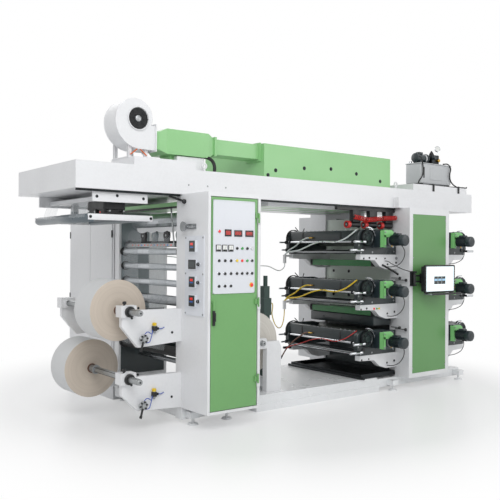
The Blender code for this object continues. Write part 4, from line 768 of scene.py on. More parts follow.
def makeUnit(number, row, z, root, side, reach, drive, hoseFinish, thinFinish):
    shape = bmesh.new()
    width, plate = unit["width"], unit["plate"]
    cylinderX, driveX = root + side * unit["cylinder"], root + side * drive
    coverX, coverZ = root + side * (reach - unit["coverInset"]), z + unit["coverLift"]
    outer = root + side * reach

    def out(distance):
        return outer + side * distance

    inner, face = out(-0.1), out(-0.02)
    # side plates, with bearing caps over the ends of the plate cylinder
    for yLow, yHigh, way in ((0.0, plate, -1), (width - plate, width, 1)):
        addPlate(shape, unitOutline(root, side, reach, z), yLow, yHigh, 0, 0.003)
        y = yLow if way < 0 else yHigh
        addRod(shape, (cylinderX, y - 0.002 * way, z), (cylinderX, y + 0.016 * way, z), 0.046, 9, sides=32)
        addRod(shape, (cylinderX, y + 0.014 * way, z), (cylinderX, y + 0.024 * way, z), 0.02, 1, sides=24)
        addRod(shape, (out(-0.1), y, z - 0.125), (out(-0.1), y + 0.012 * way, z - 0.125), 0.026, 5, sides=24)
    # doctor chamber: a long body with a sloping top, a bright lip, and catches over its face
    chamber = [(inner, z - 0.035), (face, z - 0.035), (face, z + 0.058), (face - side * 0.014, z + 0.095),
        (inner + side * 0.008, z + 0.095), (inner, z + 0.08)]
    addPlate(shape, chamber, 0.035, width - 0.035, 0, 0.002)
    lip = sorted((inner + side * 0.012, face - side * 0.02))
    addBox(shape, (lip[0], 0.065, z + 0.093), (lip[1], width - 0.065, z + 0.0985), 1, 0.001)
    for y in (0.3, 0.98):
        hook = [(face - side * 0.002, z - 0.02), (face + side * 0.006, z - 0.016), (face + side * 0.006, z + 0.054),
            (face - side * 0.006, z + 0.084), (face - side * 0.014, z + 0.08), (face - side * 0.002, z + 0.052)]
        addPlate(shape, hook, y - 0.009, y + 0.009, 5, 0.001)
        addRod(shape, (face, y - 0.014, z + 0.02), (face, y + 0.014, z + 0.02), 0.009, 5, sides=12)
    trough = sorted((inner - side * 0.02, face - side * 0.004))
    addBox(shape, (trough[0], 0.065, z - 0.048), (trough[1], width - 0.065, z - 0.033), 9, 0.003)
    # anilox roller with its journals, on the axis of the end cover
    length = width - 2 * plate
    addKnob(shape, (coverX, plate - 0.01, coverZ), (0, 1, 0), [(0, 0.022), (0.02, 0.022), (0.02, 0.054),
        (0.024, 0.058), (length - 0.004, 0.058), (length, 0.054), (length, 0.022), (length + 0.02, 0.022)], 6, 40)
    # tie rods: a grey bar with a bright top below, a dark one behind
    lowX = out(-0.06)
    addRod(shape, (lowX, plate - 0.01, z - 0.16), (lowX, width - plate + 0.01, z - 0.16), 0.014, 1, sides=20)
    addRod(shape, (out(-0.2), plate - 0.01, z - 0.15), (out(-0.2), width - plate + 0.01, z - 0.15), 0.016, 9,
        sides=20)
    bar = sorted((out(-0.044), out(-0.004)))
    addBox(shape, (bar[0], 0.058, z - 0.181), (bar[1], width - 0.058, z - 0.17), 9, 0.002)
    addBox(shape, (bar[0] + 0.002, 0.06, z - 0.17), (bar[1] - 0.002, width - 0.06, z - 0.1655), 2, 0.001)
    # bright rod along the outer edge, in clamp blocks
    rodX = out(-0.004)
    addRod(shape, (rodX, 0.05, z - 0.036), (rodX, width - 0.05, z - 0.036), 0.0135, 2, sides=20)
    for y in (0.082, width - 0.082):
        addBox(shape, (rodX - 0.017, y - 0.014, z - 0.056), (rodX + 0.017, y + 0.014, z - 0.016), 9, 0.003)
    # end covers: black discs with a bright rim, ribs and a stepped hub
    for y, way, smaller, depth in ((0.0, -1, 0.0, 0.048), (width, 1, 0.012, 0.035)):
        radius = unit["coverRadius"] - smaller
        addKnob(shape, (coverX, y - 0.004 * way, coverZ), (0, way, 0), [(0, radius - 0.006),
            (depth * 0.55, radius - 0.006), (depth * 0.8, radius - 0.012), (depth * 0.8, radius - 0.022),
            (depth * 0.62, radius - 0.03), (depth * 0.62, 0.046), (depth * 0.92, 0.04), (depth * 0.92, 0.028),
            (depth, 0.026)], 0, 56)
        addRing(shape, (coverX, y, coverZ), (0, way, 0), [(depth * 0.1, radius - 0.007), (depth * 0.1, radius),
            (depth * 0.62, radius), (depth * 0.86, radius - 0.007), (depth * 0.86, radius - 0.013),
            (depth * 0.5, radius - 0.011)], 9, 56)
        for outside, inside, near, far in ((0.026, 0.015, 0.002, 0.034), (0.004, -0.004, 0.02, 0.052)):
            turns = [math.radians(84 + 7 * i) for i in range(15)]
            arc = [(coverX + side * (radius + grow) * math.cos(a), coverZ + (radius + grow) * math.sin(a))
                   for grow, order in ((outside, turns), (inside, turns[::-1])) for a in order]
            addPlate(shape, arc, *sorted((y + near * way, y + far * way)), 2, 0.001)
        for x, level in circlePoints(coverX, coverZ, 0.058, 6, 20):
            addRod(shape, (x, y + depth * 0.6 * way, level), (x, y + depth * 0.86 * way, level), 0.009, 5, sides=12)
    for level, farEnd, nearStart, nearEnd in unit["leftHandles"] if side < 0 else unit["rightHandles"]:
        addHandle(shape, out(-0.03), side, farEnd + 0.03, width - 0.03, z + level, False)
        addHandle(shape, out(nearStart), side, nearEnd - nearStart, -0.045, z + level, True)
    # levers and curved leads over the far corner
    for foot, head, rise in ((-0.2, -0.13, 0.16), (-0.27, -0.29, 0.15)):
        addRod(shape, (out(foot), width - 0.03, z + 0.1), (out(head), width - 0.03, z + rise), 0.006, 5, sides=10)
    for drop in (0.0, 0.018):
        addTube(shape, [(out(-0.16), width - 0.02 - drop, z + 0.112), (out(-0.1), width - 0.02 - drop, z + 0.122),
            (out(-0.028), width - 0.02 - drop, z + 0.098), (out(0.01), width - 0.02 - drop, z + 0.04),
            (out(0.014), width - 0.02 - drop, z - 0.02)], 0.0055, 11, 8, 0.016)
    # gearbox with flanges and a brass sight glass
    half = unit["gearboxWidth"] / 2
    depth = unit["gearboxDepth"]
    addBox(shape, (driveX - half, -depth + 0.016, z - 0.104), (driveX + half, -0.016, z + 0.104), 3, 0.012, 2)
    addBox(shape, (driveX - half, -depth, z - 0.108), (driveX + half, -depth + 0.018, z + 0.108), 3, 0.004)
    addBox(shape, (driveX - half, -0.022, z - 0.108), (driveX + half, 0.004, z + 0.108), 3, 0.004)
    addRod(shape, (driveX + 0.06, -depth - 0.003, z - 0.085), (driveX + 0.06, -depth + 0.004, z - 0.085), 0.011, 8,
        sides=16)
    # guard wrapped round the gearbox's left edge, its top arm reaching over the motor
    low, high, rear = driveX - half - 0.006, driveX + half - 0.022, -depth + 0.036
    guardFace = -depth - 0.026
    addBox(shape, (low, guardFace, z - 0.102), (low + 0.003, rear, z + 0.084), 4, 0.001)
    addBox(shape, (low, guardFace, z - 0.102), (low + 0.036, guardFace + 0.003, z + 0.04), 4, 0.001)
    crown = [(high, z + 0.056), (high - 0.006, z + 0.074), (high - 0.02, z + 0.086), (high - 0.044, z + 0.1),
        (low + 0.02, z + 0.1), (low + 0.006, z + 0.096), (low, z + 0.084)]
    addPlate(shape, [(low, z + 0.016), (high, z + 0.016), *crown], guardFace, guardFace + 0.004, 4, 0.001)
    under = [(low + 0.003, z + 0.083), (low + 0.009, z + 0.093), (low + 0.021, z + 0.097), (high - 0.045, z + 0.097),
        (high - 0.022, z + 0.083), (high - 0.009, z + 0.072), (high - 0.003, z + 0.056)]
    addPlate(shape, [*crown, *under], guardFace + 0.002, rear, 4, 0.0)
    # motor: pale flange, shell, fan cowl with its grille, terminal box
    motorX = driveX - side * 0.035
    reachY = -depth - unit["motorLength"]
    radius = unit["motorRadius"]
    addKnob(shape, (motorX, -depth + 0.004, z - 0.02), (0, -1, 0), [(0, radius - 0.006), (0.022, radius - 0.006),
        (0.027, radius - 0.016)], 7, 40)
    addKnob(shape, (motorX, -depth - 0.02, z - 0.02), (0, -1, 0), [(0, radius - 0.014), (0.15, radius - 0.014),
        (0.156, radius - 0.002), (0.206, radius - 0.002), (0.216, radius - 0.008), (0.22, radius - 0.018)], 3, 40)
    for ring in (0.016, 0.028, 0.04):
        addBand(shape, (motorX, reachY + 0.001, z - 0.02), (0, -1, 0), 0.0012, ring - 0.002, ring + 0.002, 5, 32)
    addBox(shape, (motorX - 0.034, -depth - 0.15, z + 0.03), (motorX + 0.034, -depth - 0.06, z + 0.058), 3, 0.006)
    addBox(shape, (motorX - 0.03, -depth - 0.146, z + 0.057), (motorX + 0.03, -depth - 0.064, z + 0.062), 3, 0.002)
    # air lines clipped along the outer rod, from the clamp at the far side
    run, clampX, clampY = out(0.02), out(0.062), width - 0.045
    lead = len(unitFinishes)
    if number == 3:
        addTube(shape, [(out(0.098), clampY, z - 0.325), (out(0.082), clampY - 0.01, z - 0.29),
            (clampX, clampY - 0.03, z - 0.24), (out(0.045), 1.12, z - 0.15), (run, 0.97, z - 0.04),
            (out(0.01), 0.87, z + 0.014), (out(0.004), 0.82, z + 0.016)], 0.0085, lead)
        addRod(shape, (out(0.114), clampY + 0.004, z - 0.352), (out(0.092), clampY - 0.002, z - 0.312), 0.011, 5,
            sides=14)
        start = [(clampX, clampY - 0.03, z - 0.225), (out(0.058), 1.14, z - 0.19)]
    else:
        start = [(clampX, clampY, z - 0.2), (out(0.06), clampY - 0.03, z - 0.183)]
        addTube(shape, [(clampX, clampY - 0.002, z - 0.2), (out(0.056), clampY - 0.06, z - 0.15),
            (out(0.034), 1.06, z - 0.09), (run, 0.95, z - 0.016), (out(0.01), 0.87, z + 0.014),
            (out(0.004), 0.82, z + 0.016)], 0.0085, lead)
    addTube(shape, [*start, (out(0.044), 0.97, z - 0.138), (out(0.022), 0.72, z - 0.056), (run, 0.62, z - 0.036),
        (run, 0.3, z - 0.034), (out(0.006), 0.19, z + 0.004), (out(-0.004), 0.1, z + 0.056),
        (out(-0.04), 0.045, z + 0.108)], 0.0085 if row < 2 else 0.005, lead if row < 2 else lead + 1)
    addRod(shape, (out(0.004), 0.835, z + 0.016), (out(0.004), 0.775, z + 0.016), 0.0095, 8, sides=14)
    addRod(shape, (out(0.006), 0.78, z + 0.016), (face, 0.78, z + 0.016), 0.0085, 8, sides=14)
    for y in (0.34, 0.56):
        addBand(shape, (out(0.012), y, z - 0.035), (0, 1, 0), 0.008, 0.0195, 0.0215, 5, 20)
    if number > 2:
        clip = sorted((out(-0.07), out(0.074)))
        addBox(shape, (clip[0], clampY - 0.015, z - 0.227), (clip[1], clampY + 0.015, z - 0.199), 5, 0.003)
    node = f"print_unit_{number}"
    finishShape(f"unit_{number}_body", shape, [*unitFinishes, hoseFinish, thinFinish], "press", (node,))
    return motorX, driveX, cylinderX, face


ribPlaces = []
unitScrews = []
lipBolts = []
hoseColours = [(whitePlastic, whitePlastic), (yellowPlastic, yellowPlastic), (brownPlastic, redPlastic)]
for row, z in enumerate(unit["heights"]):
    for number, side, which in ((row + 1, -1, "left"), (row + 4, 1, "right")):
        root, reach, drive = (unit[which + part] for part in ("Root", "Reach", "Drive"))
        motorX, driveX, cylinderX, face = makeUnit(number, row, z, root, side, reach, drive, *hoseColours[row])
        ribPlaces.append(turnedToY(motorX, -unit["gearboxDepth"] - 0.096, z - 0.02))
        for y, way in ((0.0, front), (unit["width"], back)):
            places = ((reach - 0.055, -0.165), (0.07, -0.15), (0.07, 0.06), (reach - 0.25, -0.16),
                (reach - 0.27, 0.085), (reach - 0.018, -0.08))
            unitScrews += [((root + side * x, y, z + rise), way) for x, rise in places]
            unitScrews += [((x, y + 0.016 * way[1], level), way)
                           for x, level in circlePoints(cylinderX, z, 0.036, 6, 15)]
        for sign, deep, rises in ((1, 0.0, (-0.096, 0.01)), (-1, 0.026, (-0.085, 0.075))):
            x = driveX + sign * (unit["gearboxWidth"] / 2 - 0.014)
            unitScrews += [((x, -unit["gearboxDepth"] - deep, z + rise), front) for rise in rises]
        lipBolts += [((face - side * 0.04, 0.1 + 1.08 * i / 14, z + 0.0985), up) for i in range(15)]
repeatedPiece("motor_cooling_ribs", ribTree, ribPlaces, count=30, shellRadius=0.056, ribDepth=0.012, ribWidth=0.0028,
    length=0.14, finish=motorSlate)
screwPiece("unit_screws", unitScrews, 0.0075, 0.006, dullSteel)
screwPiece("chamber_lid_bolts", lipBolts, 0.0065, 0.007, chromedSteel)
print("stage: print units")


# reels: wound rolls on card cores, with chucks on their shafts
reels = {
    # axis X and Z, radius, near and far face, near and far end of the shaft
    "upper": (0.515, 1.107, 0.285, 0.185, 0.53, -0.24, 1.49),
    "lower": (0.515, 0.497, 0.285, 0.74, 1.085, -0.24, 1.49),
    "rewind": (2.16, 0.69, 0.32, 0.24, 0.585, 0.06, 1.31), "core": 0.046,
    "paper": ("#CFC3B5", "#C6BAAC"), "film": ("#D9D5CD", "#CBC6BD"), "outside": ("#DDDEDF", "#D0D2D3"),
}


def makeReel(which, rollNode, shaftNode, colours):
    x, z, radius, low, high, start, end = reels[which]
    body = f"{which}_reel"
    wound = woundReel(f"{which}_reel_edges", *colours, at(x, 0, z), roughness=0.6)
    shape = bmesh.new()
    width, core = high - low, reels["core"]
    addTurned(shape, (x, low, z), (0, 1, 0), [(0.004, core), (0.0015, core + 0.004), (0.0, radius * 0.45),
        (0.0018, radius * 0.75), (0.0, radius - 0.004), (0.003, radius), (width * 0.3, radius - 0.0008),
        (width * 0.7, radius), (width - 0.003, radius), (width, radius - 0.004), (width - 0.0018, radius * 0.7),
        (width, core + 0.004), (width - 0.004, core)], 0, 96)
    # the last turn shows its own face, the edges of all the turns make the ends
    shape.normal_update()
    for face in shape.faces:
        if abs(face.normal.y) < 0.6 and (face.calc_center_median() - at(x, 0, z)).xz.length > radius * 0.9:
            face.material_index = 3
    # card core, a little proud of the web at both faces
    addRing(shape, (x, low, z), (0, 1, 0), [(-0.004, 0.038), (-0.004, core), (width + 0.004, core),
        (width + 0.004, 0.038)], 1, 48)
    for y, way in ((low - 0.004, -1), (high + 0.004, 1)):
        addKnob(shape, (x, y + 0.004 * -way, z), (0, way, 0), [(0, 0.037), (0.008, 0.037), (0.022, 0.034),
            (0.034, 0.0315)], 2, 32)
    outside = woundReel(f"{which}_reel_face", *reels["outside"], at(x, 0, z), 40.0)
    finishShape(f"{which}_wound_reel", shape, [wound, brownPlastic, castAluminium, outside], body, (rollNode,),
        40)
    bar = bmesh.new()
    long = end - start
    addKnob(bar, (x, start, z), (0, 1, 0), [(0, 0.022), (0.004, 0.026), (0.03, 0.026), (0.034, 0.0295),
        (long - 0.034, 0.0295), (long - 0.03, 0.024), (long - 0.003, 0.024), (long, 0.02)], 0, 36)
    for edgeX, edgeZ in circlePoints(x, z, 0.0285, 4, 45):
        addRod(bar, (edgeX, start + 0.2, edgeZ), (edgeX, end - 0.2, edgeZ), 0.0035, 2, sides=8)
    addRod(bar, (x, start - 0.004, z), (x, start + 0.004, z), 0.008, 2, sides=16)
    if which != "rewind":
        for y in (low - 0.1, high + 0.07):
            addRing(bar, (x, y, z), (0, 1, 0), [(0, 0.029), (0, 0.044), (0.03, 0.044), (0.034, 0.04), (0.034, 0.029)],
                1, 32)
    finishShape(f"{which}_air_shaft", bar, [dullSteel, castAluminium, darkSteel], body, (shaftNode,))


makeReel("upper", "upper_unwind_roll", "upper_unwind_shaft", reels["paper"])
makeReel("lower", "lower_unwind_roll", "lower_unwind_shaft", reels["paper"])
makeReel("rewind", "rewind_roll", "rewind_shaft", reels["film"])
print("stage: reels")


# instrument panel on the cabinet door: a framed plate with a lamp, displays, meters and buttons
panel = {
    "x": (1.14, 1.622), "z": (1.27, 2.135), "face": -0.448, "back": -0.4405, "frame": 0.01,
    "lamp": (1.207, 1.845), "stop": (1.584, 1.345), "displayFoot": 1.8,
    # left and right end and top of each display
    "displays": ((1.27, 1.345, 1.865), (1.378, 1.47, 1.86), (1.508, 1.602, 1.86)),
    "meters": (1.17, 1.24, 1.31), "meterWidth": 0.058, "meterLow": 1.66, "meterHigh": 1.722,
    # places along the buttons' rows, and each row's colours by its level
    "across": (1.207, 1.275, 1.342, 1.412, 1.472, 1.532, 1.59),
    "rows": {1.69: (None, None, None, 1, 5, 1, 7), 1.575: (1, 1, 1, 6, 4, 5, 1), 1.455: (1,) * 7, 1.34: (1, 1, 1)},
}
panelFinishes = [panelGrey, blackPlastic, glassDark, meterWhite, redLens, greenLens, yellowLens, whiteLens, redDigits,
    chromedSteel]


def addPushButton(shape, x, z, face, slot, radius=0.0125):
    addRod(shape, (x, face + 0.003, z), (x, face - 0.003, z), radius + 0.004, 9, sides=20, chamfer=0.001)
    addRod(shape, (x, face, z), (x, face - 0.01, z), radius, slot, sides=20, chamfer=0.0015)


def addMeter(shape, x0, x1, z0, z1, face):
    addBox(shape, (x0, face - 0.006, z0), (x1, face + 0.004, z1), 1, 0.0015)
    addBox(shape, (x0 + 0.006, face - 0.0072, z0 + 0.008), (x1 - 0.006, face - 0.004, z1 - 0.006), 3, 0.0005)
    addBox(shape, (x0 + 0.008, face - 0.0085, z0 + 0.008), (x1 - 0.008, face - 0.005, z0 + 0.018), 1, 0.001)
    middle = (x0 + x1) / 2
    addBox(shape, (middle - 0.0008, face - 0.0082, z0 + 0.016), (middle + 0.0008, face - 0.006, z1 - 0.016), 1, 0.0)


def addDisplay(shape, x0, x1, z0, z1, face, lit, digits):
    addBox(shape, (x0, face - 0.006, z0), (x1, face + 0.004, z1), 1, 0.0015)
    addBox(shape, (x0 + 0.006, face - 0.0068, z0 + 0.012), (x1 - 0.006, face - 0.004, z1 - 0.008), 2, 0.0004)
    pitch = (x1 - x0 - 0.02) / digits
    for i in range(digits):
        left, width = x0 + 0.01 + pitch * i, pitch * 0.55
        for bar in (0.0, 0.5, 1.0):
            level = z0 + 0.017 + bar * (z1 - z0 - 0.032)
            addBox(shape, (left, face - 0.0072, level - 0.001), (left + width, face - 0.006, level + 0.001), lit, 0.0)
        for edge in (left, left + width):
            addBox(shape, (edge - 0.001, face - 0.0072, z0 + 0.017), (edge + 0.001, face - 0.006, z1 - 0.015), lit)


def makePanel():
    shape = bmesh.new()
    face, edge = panel["face"], panel["frame"]
    (x0, x1), (z0, z1) = panel["x"], panel["z"]
    addBox(shape, (x0, face, z0), (x1, panel["back"], z1), 0, 0.003)
    # a thin raised frame round the plate
    for left, low, right, high in ((x0, z0, x1, z0 + edge), (x0, z1 - edge, x1, z1), (x0, z0, x0 + edge, z1),
                                   (x1 - edge, z0, x1, z1)):
        addBox(shape, (left, face - 0.0025, low), (right, face + 0.002, high), 0, 0.001)
    x, z = panel["lamp"]
    addRod(shape, (x, face, z), (x, face - 0.012, z), 0.013, 4)
    addRod(shape, (x, face + 0.002, z), (x, face - 0.004, z), 0.017, 9)
    for left, right, top in panel["displays"]:
        addDisplay(shape, left, right, panel["displayFoot"], top, face, 8, 4)
    for left in panel["meters"]:
        addMeter(shape, left, left + panel["meterWidth"], panel["meterLow"], panel["meterHigh"], face)
    across = panel["across"]
    for z, slots in panel["rows"].items():
        for x, slot in zip(across, slots):
            if slot is not None:
                addPushButton(shape, x, z, face, slot)
    # selector handles stand across some of the black buttons
    for x, z in [(across[i], 1.455) for i in (0, 1, 2, 4)] + [(x, 1.34) for x in across[:3]]:
        addBox(shape, (x - 0.003, face - 0.0118, z - 0.011), (x + 0.003, face - 0.009, z + 0.011), 1, 0.001)
    # emergency stop: a red mushroom head on a yellow ring
    x, z = panel["stop"]
    addRod(shape, (x, face, z), (x, face - 0.003, z), 0.024, 6, sides=32)
    addTurned(shape, (x, face, z), (0, -1, 0), [(0, 0.0), (0, 0.01), (0.004, 0.01), (0.0045, 0.016),
        (0.009, 0.0175), (0.0115, 0.012), (0.0118, 0.0)], 4, 32)
    finishShape("panel_instruments", shape, panelFinishes, "door", ("instrument_panel",))


makePanel()
print("stage: instrument panel")


# blowers: sheet steel volutes with a rolled inlet, a motor and a stand
leftFan = {"x": 0.67, "z": 2.9, "foot": 2.531, "front": 0.12, "back": 0.36, "inlet": 0.105, "outletX": 0.86,
           "outletLow": 2.62, "outletHigh": 2.85}
fanFinishes = [whiteEnamel, darkSteel, castAluminium, blackPlastic, dullSteel, orangePlastic]


def makeLeftBlower():
    shape = bmesh.new()
    x, z, front, back = (leftFan[key] for key in ("x", "z", "front", "back"))
    outline = []
    for step in range(49):
        share = step / 48
        angle = math.radians(-20 + 290 * share)
        radius = 0.15 + 0.13 * share**1.4
        outline.append((x + radius * math.cos(angle), z + radius * math.sin(angle)))
    outline += [(leftFan["outletX"], leftFan["outletLow"]), (leftFan["outletX"], leftFan["outletHigh"])]
    addPlate(shape, outline, front, back, 0, 0.003)
    # rolled seams stand proud of both cheeks
    rim = [(x + (px - x) * 1.012, z + (pz - z) * 1.012) for px, pz in outline]
    addPlate(shape, rim, front - 0.0015, front + 0.01, 0, 0.001)
    addPlate(shape, rim, back - 0.01, back + 0.0015, 0, 0.001)
    inlet = leftFan["inlet"]
    addRing(shape, (x, front, z), (0, -1, 0), [(-0.02, inlet - 0.004), (0.012, inlet - 0.004), (0.018, inlet),
        (0.019, inlet + 0.006), (0.014, inlet + 0.008), (0.004, inlet + 0.004), (-0.02, inlet + 0.004)], 0, 56)
    addRod(shape, (x, front + 0.004, z), (x, front - 0.0035, z), inlet - 0.002, 3, sides=48)
    addTurned(shape, (x, front - 0.002, z), (0, -1, 0), [(0, 0.0), (0, 0.034), (0.008, 0.03), (0.014, 0.014),
        (0.015, 0.0)], 2, 28)
    # inlet guard: rings and spokes of wire
    for ring in (0.04, 0.062, 0.084):
        addBand(shape, (x, front - 0.014, z), (0, -1, 0), 0.003, ring - 0.0015, ring + 0.0015, 1, 40)
    for (inX, inZ), (outX, outZ) in zip(circlePoints(x, z, 0.03, 8), circlePoints(x, z, 0.103, 8)):
        addRod(shape, (inX, front - 0.0165, inZ), (outX, front - 0.0165, outZ), 0.0016, 1, sides=8)
    # motor with end bells, and its stand
    addTurned(shape, (x, back - 0.004, z), (0, 1, 0), [(0, 0.0), (0, 0.082), (0.018, 0.082), (0.024, 0.07),
        (0.15, 0.07), (0.156, 0.084), (0.212, 0.084), (0.223, 0.074), (0.224, 0.0)], 1, 48)
    addBox(shape, (x - 0.045, back + 0.05, z + 0.066), (x + 0.045, back + 0.13, z + 0.098), 1, 0.006)
    foot = leftFan["foot"]
    for legX in (0.6, 0.77):
        for y, top in ((front + 0.03, 2.72), (0.43, 2.84)):
            addBox(shape, (legX - 0.02, y - 0.003, foot), (legX + 0.02, y + 0.003, top), 0, 0.001)
            addBox(shape, (legX - 0.02, y - 0.02, foot), (legX - 0.016, y + 0.02, top), 0, 0.001)
            addBox(shape, (legX - 0.025, y - 0.022, foot), (legX + 0.025, y + 0.022, 2.538), 0, 0.001)
    addBox(shape, (0.59, 0.415, 2.805), (0.78, 0.445, 2.832), 0, 0.002)
    addBox(shape, (0.572, front, 2.5305), (0.798, 0.46, 2.543), 0, 0.002)
    for high, low in (((0.6, 2.7), (0.77, 2.56)), ((0.77, 2.7), (0.6, 2.56))):
        addRod(shape, (high[0], front + 0.012, high[1]), (low[0], front + 0.012, low[1]), 0.006, 5, sides=10)
    # outlet flange
    outX, low, high = leftFan["outletX"], leftFan["outletLow"], leftFan["outletHigh"]
    addBox(shape, (outX - 0.008, front - 0.018, low - 0.015), (outX + 0.0055, back + 0.018, high + 0.018), 0, 0.002)
    finishShape("left_fan", shape, fanFinishes, "press", ("left_blower",), 40)


makeLeftBlower()
repeatedPiece("left_fan_motor_ribs", ribTree, [turnedToY(leftFan["x"], leftFan["back"] + 0.083, leftFan["z"])],
    count=36, shellRadius=0.072, ribDepth=0.014, ribWidth=0.003, length=0.12, finish=darkSteel)

rightFan = {"x": 4.4, "z": 2.76, "low": 0.8, "high": 1.02}


def makeRightBlower():
    shape = bmesh.new()
    x, z = rightFan["x"], rightFan["z"]
    turns = [(0.165 + 0.05 * i / 40, math.radians(20 + 300 * i / 40)) for i in range(41)]
    outline = [(x + radius * math.cos(angle), z + radius * math.sin(angle)) for radius, angle in turns]
    addPlate(shape, outline, rightFan["low"], rightFan["high"], 0, 0.003)
    rim = [(x + (px - x) * 1.03, z + (pz - z) * 1.03 if pz < z + 0.2 else pz) for px, pz in outline]
    addPlate(shape, rim, rightFan["low"] - 0.0015, rightFan["low"] + 0.01, 0, 0.001)
    addBox(shape, (4.112, 0.82, 2.6), (x - 0.02, 1.0, 2.785), 0, 0.004)
    addBox(shape, (4.112, 0.8, 2.58), (4.122, 1.018, 2.8), 0, 0.002)
    addRing(shape, (x, rightFan["low"], z), (0, -1, 0), [(0, 0.085), (0.01, 0.085), (0.014, 0.09), (0.014, 0.098),
        (0.006, 0.1), (0, 0.1)], 0, 40)
    addRod(shape, (x, rightFan["low"] + 0.004, z), (x, rightFan["low"] - 0.003, z), 0.088, 3, sides=32)
    # motor in front of the scroll, black, on a white pedestal
    addTurned(shape, (x, 0.795, z), (0, -1, 0), [(0, 0.0), (0, 0.078), (0.016, 0.078), (0.02, 0.066), (0.155, 0.066),
        (0.16, 0.078), (0.22, 0.078), (0.232, 0.068), (0.233, 0.0)], 1, 40)
    addBox(shape, (x - 0.035, 0.66, z + 0.06), (x + 0.035, 0.73, z + 0.095), 1, 0.006)
    addBox(shape, (x - 0.085, 0.58, 2.4515), (x + 0.085, 0.8, 2.665), 0, 0.003)
    addBox(shape, (x - 0.135, 0.565, 2.4515), (x + 0.135, 1.015, 2.466), 0, 0.002)
    for legX in (x - 0.12, x + 0.12):
        for y in (0.83, 0.96):
            addBox(shape, (legX - 0.014, y, 2.455), (legX + 0.014, y + 0.03, 2.63), 0, 0.002)
    finishShape("right_fan", shape, fanFinishes, "press", ("right_blower",), 40)


makeRightBlower()
print("stage: blowers")


# power pack: tank, pump and motor, valve block, gauge, hoses and straps
pack = {"foot": 2.531, "x": (5.0, 5.66), "y": (0.3, 0.56), "z": (2.595, 2.868), "motorZ": 2.943, "motorY": 0.43}
packFinishes = [tankGrey, motorSlate, darkSteel, blackPlastic, blackRubber, chromedSteel, meterWhite, brassFitting,
    whiteEnamel]


